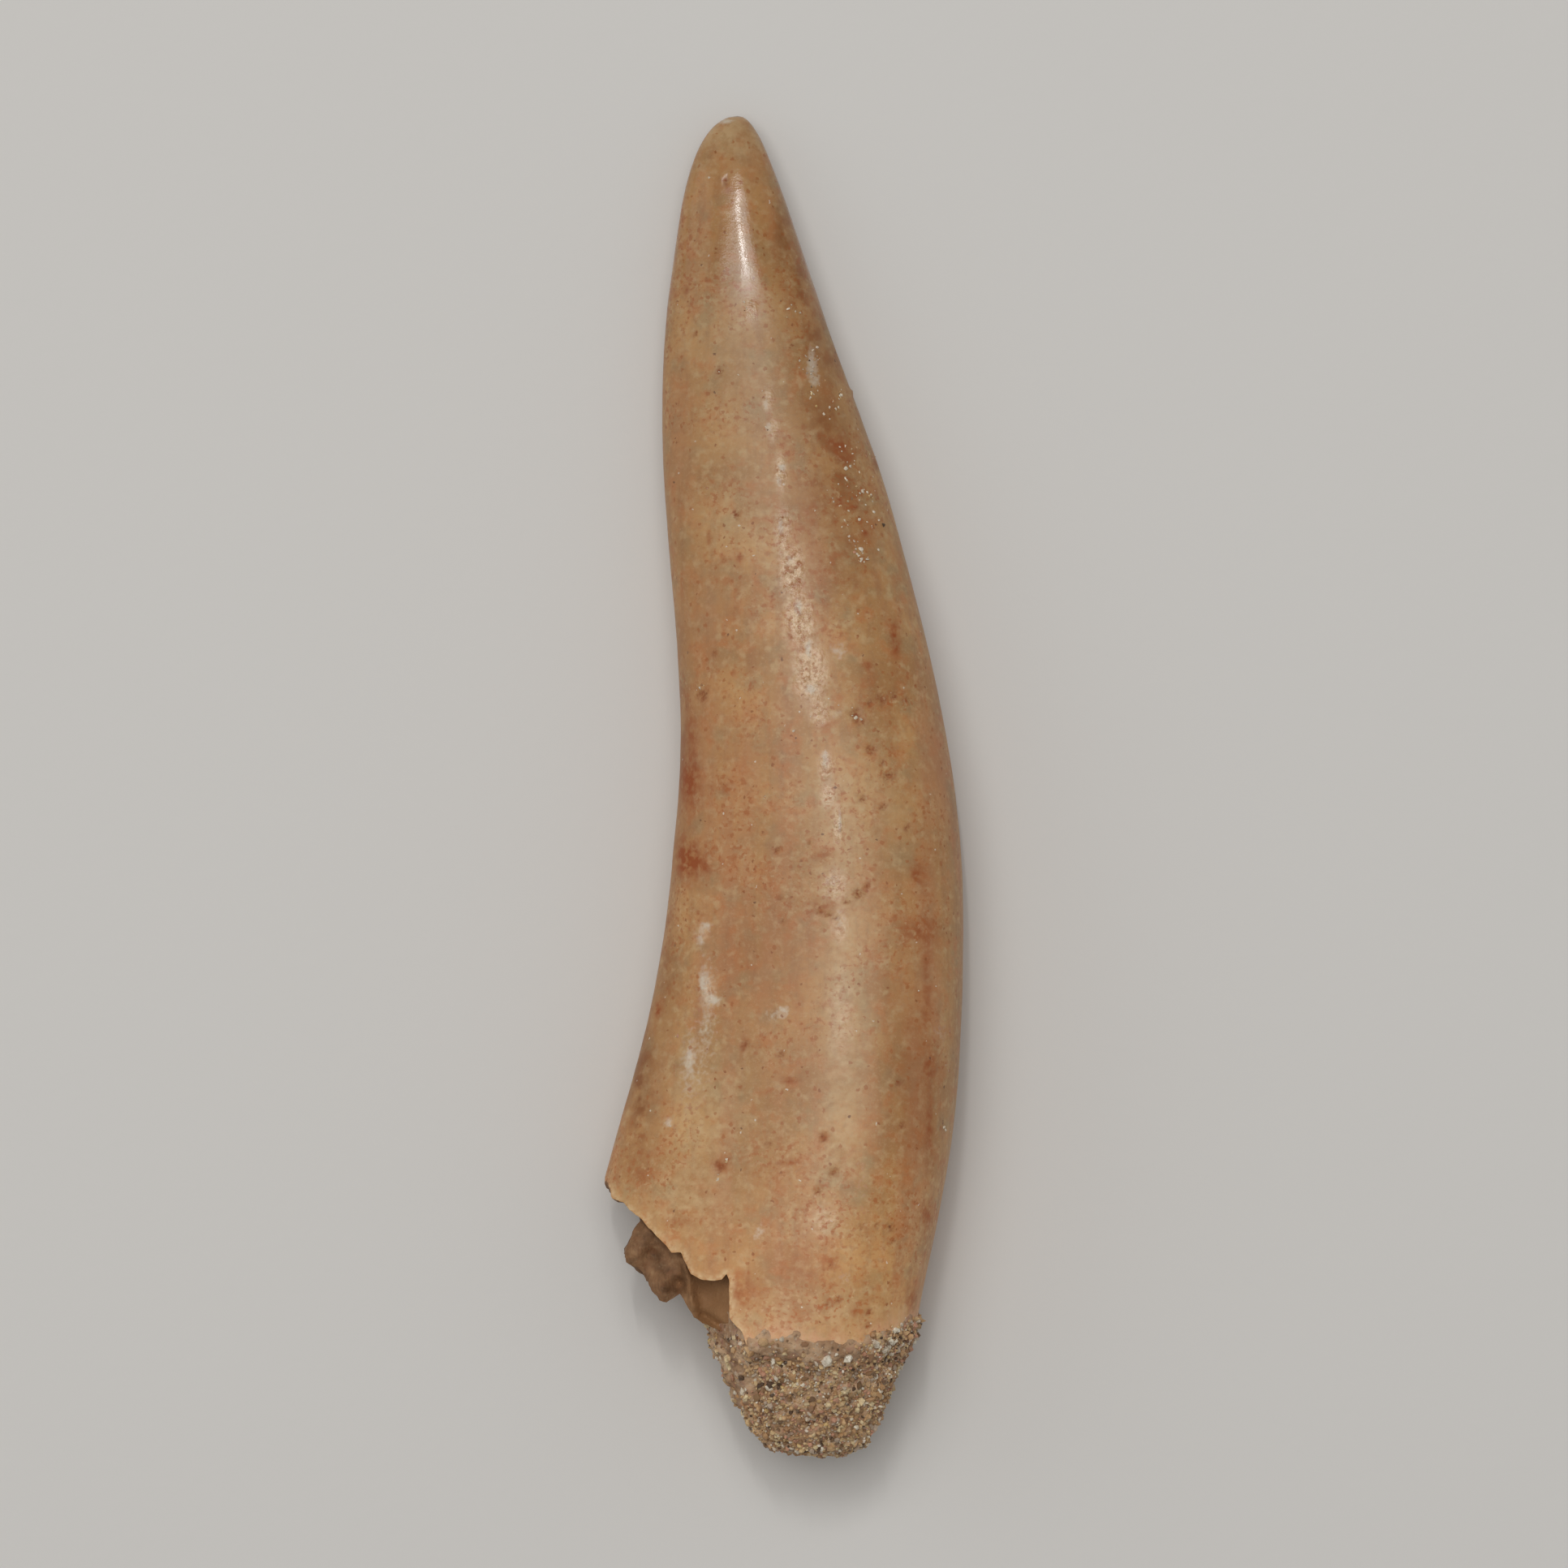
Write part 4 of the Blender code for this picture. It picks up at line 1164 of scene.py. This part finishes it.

    # The enamel is darker toward the point, and its colour is lightened just above the sandstone as
    # painted light, for the light that falls on the base. Each row is a height on the fang in mm where
    # the tone starts and one where it ends, and both tones.
    height = add(tree, "SeparateXYZ", links={0: place}).outputs["Y"]
    for start, end, from_tone, to_tone in ((4.0, 15.0, 1.06, 0.90), (-10.0, -19.5, 1.0, 1.34)):
        tone = add(
            tree, "MapRange",
            links={
                "Value": height, "From Min": start * MM, "From Max": end * MM,
                "To Min": from_tone, "To Max": to_tone,
            },
        ).outputs[0]
        colour = add(tree, "VectorMath", {"operation": "SCALE"}, {0: colour, "Scale": tone}).outputs[0]

    # The point is the most polished, and pits and the rim of the break are dull.
    dull_from, polished_from = (TIP_Y - drop for drop in POLISHED_DROPS)
    roughness = add(
        tree, "MapRange",
        links={
            "Value": height, "From Min": dull_from * MM, "From Max": polished_from * MM,
            "To Min": look.roughness_at_base, "To Max": look.roughness_at_point,
        },
    ).outputs[0]
    for name, dull in (
        ("worn", 0.18), ("pitted", 0.75), ("rim", 0.65), ("pale", 0.45), ("rust", 0.70),
    ):
        roughness = add(tree, "Mix", links={0: marks[name], 2: roughness, 3: dull}).outputs[0]

    # Relief: growth rings, fine grain and a soft unevenness, and scuffs on the worn crest.
    normal = None
    for vector, size, rise in (
        (around, 0.14, 0.0016), (along, 0.20, 0.0022), (place, 0.07, 0.0026), (place, 0.45, 0.0070),
    ):
        normal = uneven(tree, vector, size, rise, 2.0, normal)
    normal = uneven(tree, place, 0.13, 0.09, 3.0, normal, marks["worn"])
    surface(tree, {
        "Base Color": colour, "Roughness": roughness, "Normal": normal, "IOR": ENAMEL_IOR,
        "Subsurface Weight": 0.12, "Subsurface Radius": (1.0, 0.55, 0.35),
        "Subsurface Scale": 0.35 * MM, "Specular IOR Level": 0.42,
    })
    return material


def dentine_material():
    """Fossil dentine, broken: the eye gets a dull brown with darker lengthwise fibres and
    sandy crumbs, and no gloss."""
    material, tree, place = new_material("fossil_dentine_broken")
    along = add(tree, "Mapping", links={"Vector": place, "Scale": (1.0, 0.3, 1.0)}).outputs[0]
    clouds = add(tree, "TexNoise", links={"Vector": place, "Scale": per_metre(0.7), "Detail": 6.0})
    ramp = add(tree, "ValToRGB", links={0: clouds.outputs[0]})
    steps = ramp.color_ramp.elements
    for position, hex_colour in (
        (0.34, "#5E4029"), (0.47, "#7A583C"), (0.58, "#8E6848"), (0.70, "#A47E5A"),
    ):
        steps.new(position).color = opaque(hex_colour)
    steps.remove(steps[-1])
    steps.remove(steps[0])
    colour = ramp.outputs[0]
    for vector, size, strength, hex_colour in (
        (along, 0.10, 0.28, "#4A3321"), (place, 0.28, 0.30, "#8A5636"), (place, 0.12, 0.25, "#A98C68"),
    ):
        amount = cloudy(tree, vector, size, 4.0, (0.52, 0.70), strength)
        colour = layered(tree, colour, hex_colour, amount)

    # The smooth flute beside the wall is lightened with painted light, against the shade that the wall
    # casts into it.
    across = add(tree, "SeparateXYZ", links={0: place}).outputs["X"]
    flute = add(
        tree, "MapRange",
        links={
            "Value": across, "From Min": FLUTE_SPAN[0] * MM, "From Max": FLUTE_SPAN[1] * MM,
            "To Max": 0.70,
        },
    )
    colour = layered(tree, colour, "#9E744C", flute.outputs[0])
    normal = uneven(tree, place, 0.11, 0.025, 4.0)
    normal = uneven(tree, along, 0.09, 0.02, 3.0, normal)
    surface(tree, {
        "Base Color": colour, "Roughness": 0.68, "IOR": DENTINE_IOR, "Specular IOR Level": 0.22,
        "Normal": normal,
    })
    return material


def cement_material():
    """Phosphate cement between the sand grains: the eye gets a matt, crumbly pinkish brown."""
    material, tree, place = new_material("phosphate_cement_crumbly")
    colour = layered(tree, "#9E7958", "#CBA884", cloudy(tree, place, 0.8, 7.0, (0.38, 0.62)))
    for size, strength, hex_colour in (
        (0.18, 0.55, "#C4B096"), (0.14, 0.50, "#5A4230"), (0.30, 0.45, "#A87260"),
    ):
        amount = cloudy(tree, place, size, 3.0, (0.54, 0.66), strength)
        colour = layered(tree, colour, hex_colour, amount)
    normal = uneven(tree, place, 0.16, 0.06, 5.0)
    surface(tree, {
        "Base Color": colour, "Roughness": 0.85, "IOR": SANDSTONE_IOR, "Normal": normal,
    })
    return material


def sand_material():
    """Worn quartz and phosphate sand, cemented: the eye gets separate tan, cream, grey, red
    and dark grains, some of which glint."""
    material, tree, place = new_material("quartz_and_phosphate_sand")
    kind = add(tree, "Attribute", {"attribute_name": "grain"}).outputs["Fac"]
    ramp = add(tree, "ValToRGB", links={0: kind})
    ramp.color_ramp.interpolation = "CONSTANT"
    steps = ramp.color_ramp.elements
    steps[0].color = opaque(SAND_COLOURS[0][1])
    for position, hex_colour in SAND_COLOURS[1:]:
        steps.new(position).color = opaque(hex_colour)
    steps.remove(steps[-1])
    mottle = cloudy(tree, place, 0.09, 2.0, (0.45, 0.65), 0.35)
    colour = layered(tree, ramp.outputs[0], "#8A6B4E", mottle)
    for size, strength, hex_colour in ((1.1, 0.30, "#B57B5C"), (0.7, 0.40, "#664C35")):
        amount = cloudy(tree, place, size, 4.0, (0.50, 0.68), strength)
        colour = layered(tree, colour, hex_colour, amount)
    gloss = add(
        tree, "MapRange",
        links={
            "Value": kind, "From Min": GLINTING_FROM - 0.01, "From Max": GLINTING_FROM,
            "To Min": 0.62, "To Max": 0.22,
        },
    )
    normal = uneven(tree, place, 0.05, 0.012, 2.0)
    surface(tree, {
        "Base Color": colour, "Roughness": gloss.outputs[0], "IOR": SANDSTONE_IOR,
        "Normal": normal,
    })
    return material


def paper_material(colour):
    """Matt studio paper: the eye gets a plain pale ground with the faintest tooth."""
    material, tree, place = new_material("matt_studio_paper")
    normal = uneven(tree, place, 0.6, 0.01, 3.0)
    surface(tree, {"Base Color": (*colour, 1.0), "Roughness": 0.9, "Normal": normal})
    return material


def material_once(name, maker, *values):
    """A material that is shared by two pieces is made by the first of them."""
    return bpy.data.materials.get(name) or maker(*values)


class FossilFangLook(PropertyGroup):
    """Colours, gloss and wear of the fang's enamel."""

    light_tan: FloatVectorProperty(
        name="Light tan", description="The enamel's lighter mottling", subtype="COLOR",
        size=3, min=0.0, max=1.0, default=linear("#C2925A"),
    )
    dark_tan: FloatVectorProperty(
        name="Dark tan", description="The enamel's darker mottling", subtype="COLOR",
        size=3, min=0.0, max=1.0, default=linear("#A97B48"),
    )
    roughness_at_point: FloatProperty(
        name="Roughness at the point", description="How dull the polished point is",
        subtype="FACTOR", min=0.0, max=1.0, default=0.15,
    )
    roughness_at_base: FloatProperty(
        name="Roughness at the base", description="How dull the enamel is beside the sandstone",
        subtype="FACTOR", min=0.0, max=1.0, default=0.50,
    )
    wear_height: FloatProperty(
        name="Wear", description="Height of the roughness where the crest is worn",
        unit="LENGTH", min=0.0, default=0.042 * MM, precision=6,
    )


class SandstonePlugLook(PropertyGroup):
    """Amount, size and order of the sand grains."""

    grains: IntProperty(
        name="Grains", description="The most sand grains that the plug shows",
        min=0, max=8000, default=6800,
    )
    smallest: FloatProperty(
        name="Smallest grain", description="Width of the smallest sand grain on the plug",
        unit="LENGTH", min=0.0, default=0.08 * MM, precision=6,
    )
    largest: FloatProperty(
        name="Largest grain", description="Width of the largest sand grain on the plug",
        unit="LENGTH", min=0.0, default=0.36 * MM, precision=6,
    )
    seed: IntProperty(
        name="Seed", description="Another number gives another arrangement of grains",
        min=0, default=3,
    )


class FossilStageLook(PropertyGroup):
    """The floor and the lights."""

    floor: FloatVectorProperty(
        name="Floor", description="Colour of the paper that the fang lies on", subtype="COLOR",
        size=3, min=0.0, max=1.0, default=linear("#DEDBD6"),
    )
    key_light: FloatProperty(
        name="Key light", description="Power of the broad light overhead",
        unit="POWER", min=0.0, default=1.50,
    )
    strip_light: FloatProperty(
        name="Strip light", description="Power of the narrow light that draws the crest's gleam",
        unit="POWER", min=0.0, default=0.25,
    )
    side_light: FloatProperty(
        name="Side light", description="Power of the low light on the hollow side",
        unit="POWER", min=0.0, default=0.15,
    )
    fill: FloatProperty(
        name="Fill", description="Strength of the light from all round",
        min=0.0, default=0.27,
    )
    lens: FloatProperty(
        name="Lens", description="Focal length of the camera in millimetres",
        min=10.0, default=300.0,
    )


class FOSSIL_OT_fang(Operator):
    """Build the fang with its broken corner and its open pulp cavity"""

    bl_idname = "fossil.fang"
    bl_label = "Fang"

    def execute(self, context):
        look = context.scene.fossil_fang_look
        fang = broken_fang(enamel_material(look), dentine_material())
        weather(fang, look.wear_height / MM)
        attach(fang, "root")
        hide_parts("fang")
        return {"FINISHED"}


class FOSSIL_OT_sandstone_plug(Operator):
    """Build the sandstone in the hollow of the fang, with its sand grains"""

    bl_idname = "fossil.sandstone_plug"
    bl_label = "Sandstone plug"

    def execute(self, context):
        look = context.scene.sandstone_plug_look
        rng = np.random.default_rng(look.seed)
        core = sandstone_core(cement_material())
        places, ways_out = surface_samples(core, GRAIN_TRIES, rng)
        past_hem = TIP_Y - places[:, 1] - hem_drop(places[:, 0])
        shown = past_hem > -GRAINS_OVER_HEM * rng.random(len(places)) ** 2
        bare = bare_cement(places) & (rng.random(len(places)) < CEMENT_BARE_SHARE)
        places, ways_out = places[shown & ~bare], ways_out[shown & ~bare]
        low, high = look.smallest / MM, look.largest / MM
        sizes = low + (high - low) * rng.beta(*GRAIN_SIZE_SPREAD, len(places))
        kept = spaced(places, sizes, GRAIN_CLOSENESS, look.grains)
        places = places[kept] + ways_out[kept] * (sizes[kept] * GRAIN_LIFT)[:, None]
        places[:, 2] = np.maximum(places[:, 2], 0.9 * sizes[kept])
        sand = material_once("quartz_and_phosphate_sand", sand_material)
        kinds = rng.random(len(places))
        grains = grain_mesh("plug_sand_grains", places, sizes[kept], kinds, rng, sand)
        for piece in (core, grains):
            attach(piece, "root")
            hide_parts("matrix_plug")
        return {"FINISHED"}


class FOSSIL_OT_stuck_sand(Operator):
    """Scatter the few sand grains that are stuck on the enamel and over the hem"""

    bl_idname = "fossil.stuck_sand"
    bl_label = "Stuck sand"

    def execute(self, context):
        rng = np.random.default_rng(context.scene.sandstone_plug_look.seed + 1)
        graph = context.evaluated_depsgraph_get()
        carriers = [
            BVHTree.FromObject(bpy.data.objects[name], graph)
            for name in ("fossil_fang", "sandstone_core")
        ]
        smallest, largest = STUCK_GRAIN_SIZES
        wanted = list(WHITE_CRYSTALS)
        for photo_x, photo_y, spread, count in rows_of(STUCK_GRAINS):
            for _ in range(count):
                size = rng.triangular(smallest, smallest, largest)
                wanted.append((*rng.normal((photo_x, photo_y), 0.9 * spread), size))
        places, sizes = [], []
        for photo_x, photo_y, size in wanted:
            x, drop = from_photo(photo_x, photo_y)
            start = Vector((x, TIP_Y - drop, ABOVE_THE_FANG)) * MM
            hits = [tree.ray_cast(start, Vector((0, 0, -1)))[0] for tree in carriers]
            hits = [hit for hit in hits if hit]
            if hits:
                top = max(hits, key=lambda hit: hit.z) / MM
                places.append((top.x, top.y, top.z - STUCK_GRAIN_SINK * size))
                sizes.append(size)
        if not places:
            raise RuntimeError("no grain found the fang: build the fang and the plug first")
        sand = material_once("quartz_and_phosphate_sand", sand_material)
        pale = rng.random(len(places)) < PALE_GRAIN_SHARE
        kinds = np.where(pale, PALE_GRAIN, rng.random(len(places)))
        kinds[: len(WHITE_CRYSTALS)] = WHITE_GRAIN
        grains = grain_mesh(
            "stuck_sand_grains", np.array(places), np.array(sizes), kinds, rng, sand
        )
        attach(grains, "root")
        return {"FINISHED"}


class FOSSIL_OT_stage(Operator):
    """Lay the pale floor, set the lights and point the camera straight down"""

    bl_idname = "fossil.stage"
    bl_label = "Stage"

    def execute(self, context):
        look = context.scene.fossil_stage_look
        scene = context.scene
        bm = bmesh.new()
        bmesh.ops.create_grid(bm, x_segments=8, y_segments=8, size=FLOOR_HALF_WIDTH)
        mesh = bpy.data.meshes.new("studio_floor")
        bm.to_mesh(mesh)
        bm.free()
        mesh.materials.append(paper_material(look.floor))
        floor = bpy.data.objects.new("studio_floor", mesh)
        scene.collection.objects.link(floor)

        # Each light has the way to it, its distance and its width and length in metres.
        for name, toward, distance, size, power in (
            ("key_light", (-0.10, 0.22, 0.97), 0.60, (0.40, 0.40), look.key_light),
            ("strip_light", (-0.065, 0.40, 0.91), 0.55, (0.010, 0.12), look.strip_light),
            ("side_light", (-0.86, 0.26, 0.43), 0.50, (0.34, 0.34), look.side_light),
        ):
            light = bpy.data.lights.new(name, "AREA")
            light.shape = "RECTANGLE"
            light.size, light.size_y = size
            light.energy = power
            lamp = bpy.data.objects.new(name, light)
            way = Vector(toward).normalized()
            lamp.location = way * distance
            lamp.rotation_mode = "QUATERNION"
            lamp.rotation_quaternion = way.to_track_quat("Z", "Y")
            scene.collection.objects.link(lamp)

        world = bpy.data.worlds.new("studio_fill")
        world.use_nodes = True
        background = world.node_tree.nodes["Background"]
        background.inputs["Color"].default_value = opaque("#FFFFFF")
        background.inputs["Strength"].default_value = look.fill
        scene.world = world
        scene.view_settings.view_transform = "Standard"

        camera = bpy.data.cameras.new("camera_above")
        camera.sensor_width = SENSOR_WIDTH
        camera.lens = look.lens
        camera.clip_start = 0.001
        camera.dof.use_dof = False
        viewer = bpy.data.objects.new("camera_above", camera)
        distance = PHOTO_WIDTH * PHOTO_PIXEL * MM * look.lens / SENSOR_WIDTH
        middle_x, middle_drop = from_photo(PHOTO_WIDTH / 2, PHOTO_WIDTH / 2)
        viewer.location = (
            middle_x * MM, (TIP_Y - middle_drop) * MM, VIEWED_LEVEL * MM + distance
        )
        scene.collection.objects.link(viewer)
        scene.camera = viewer
        return {"FINISHED"}


class VIEW3D_PT_fossil_fang(Panel):
    """Lists the pieces of the fossil in the sidebar"""

    bl_label = "Fossil fang"
    bl_space_type = "VIEW_3D"
    bl_region_type = "UI"
    bl_category = "Fossil fang"

    def draw(self, context):
        for operators, look in (
            ((FOSSIL_OT_fang,), context.scene.fossil_fang_look),
            ((FOSSIL_OT_sandstone_plug, FOSSIL_OT_stuck_sand), context.scene.sandstone_plug_look),
            ((FOSSIL_OT_stage,), context.scene.fossil_stage_look),
        ):
            box = self.layout.box()
            for name in look.__annotations__:
                box.prop(look, name)
            for operator in operators:
                box.operator(operator.bl_idname)


LOOKS = {
    "fossil_fang_look": FossilFangLook,
    "sandstone_plug_look": SandstonePlugLook,
    "fossil_stage_look": FossilStageLook,
}
OPERATORS = (FOSSIL_OT_fang, FOSSIL_OT_sandstone_plug, FOSSIL_OT_stuck_sand, FOSSIL_OT_stage)


def register():
    for name, look in LOOKS.items():
        bpy.utils.register_class(look)
        setattr(bpy.types.Scene, name, PointerProperty(type=look))
    for operator in OPERATORS:
        bpy.utils.register_class(operator)
    bpy.utils.register_class(VIEW3D_PT_fossil_fang)


def unregister():
    bpy.utils.unregister_class(VIEW3D_PT_fossil_fang)
    for operator in reversed(OPERATORS):
        bpy.utils.unregister_class(operator)
    for name, look in LOOKS.items():
        delattr(bpy.types.Scene, name)
        bpy.utils.unregister_class(look)


def main():
    register()
    bpy.ops.fossil.fang()
    bpy.ops.fossil.sandstone_plug()
    bpy.ops.fossil.stuck_sand()
    bpy.ops.fossil.stage()


if __name__ == "__main__":
    main()
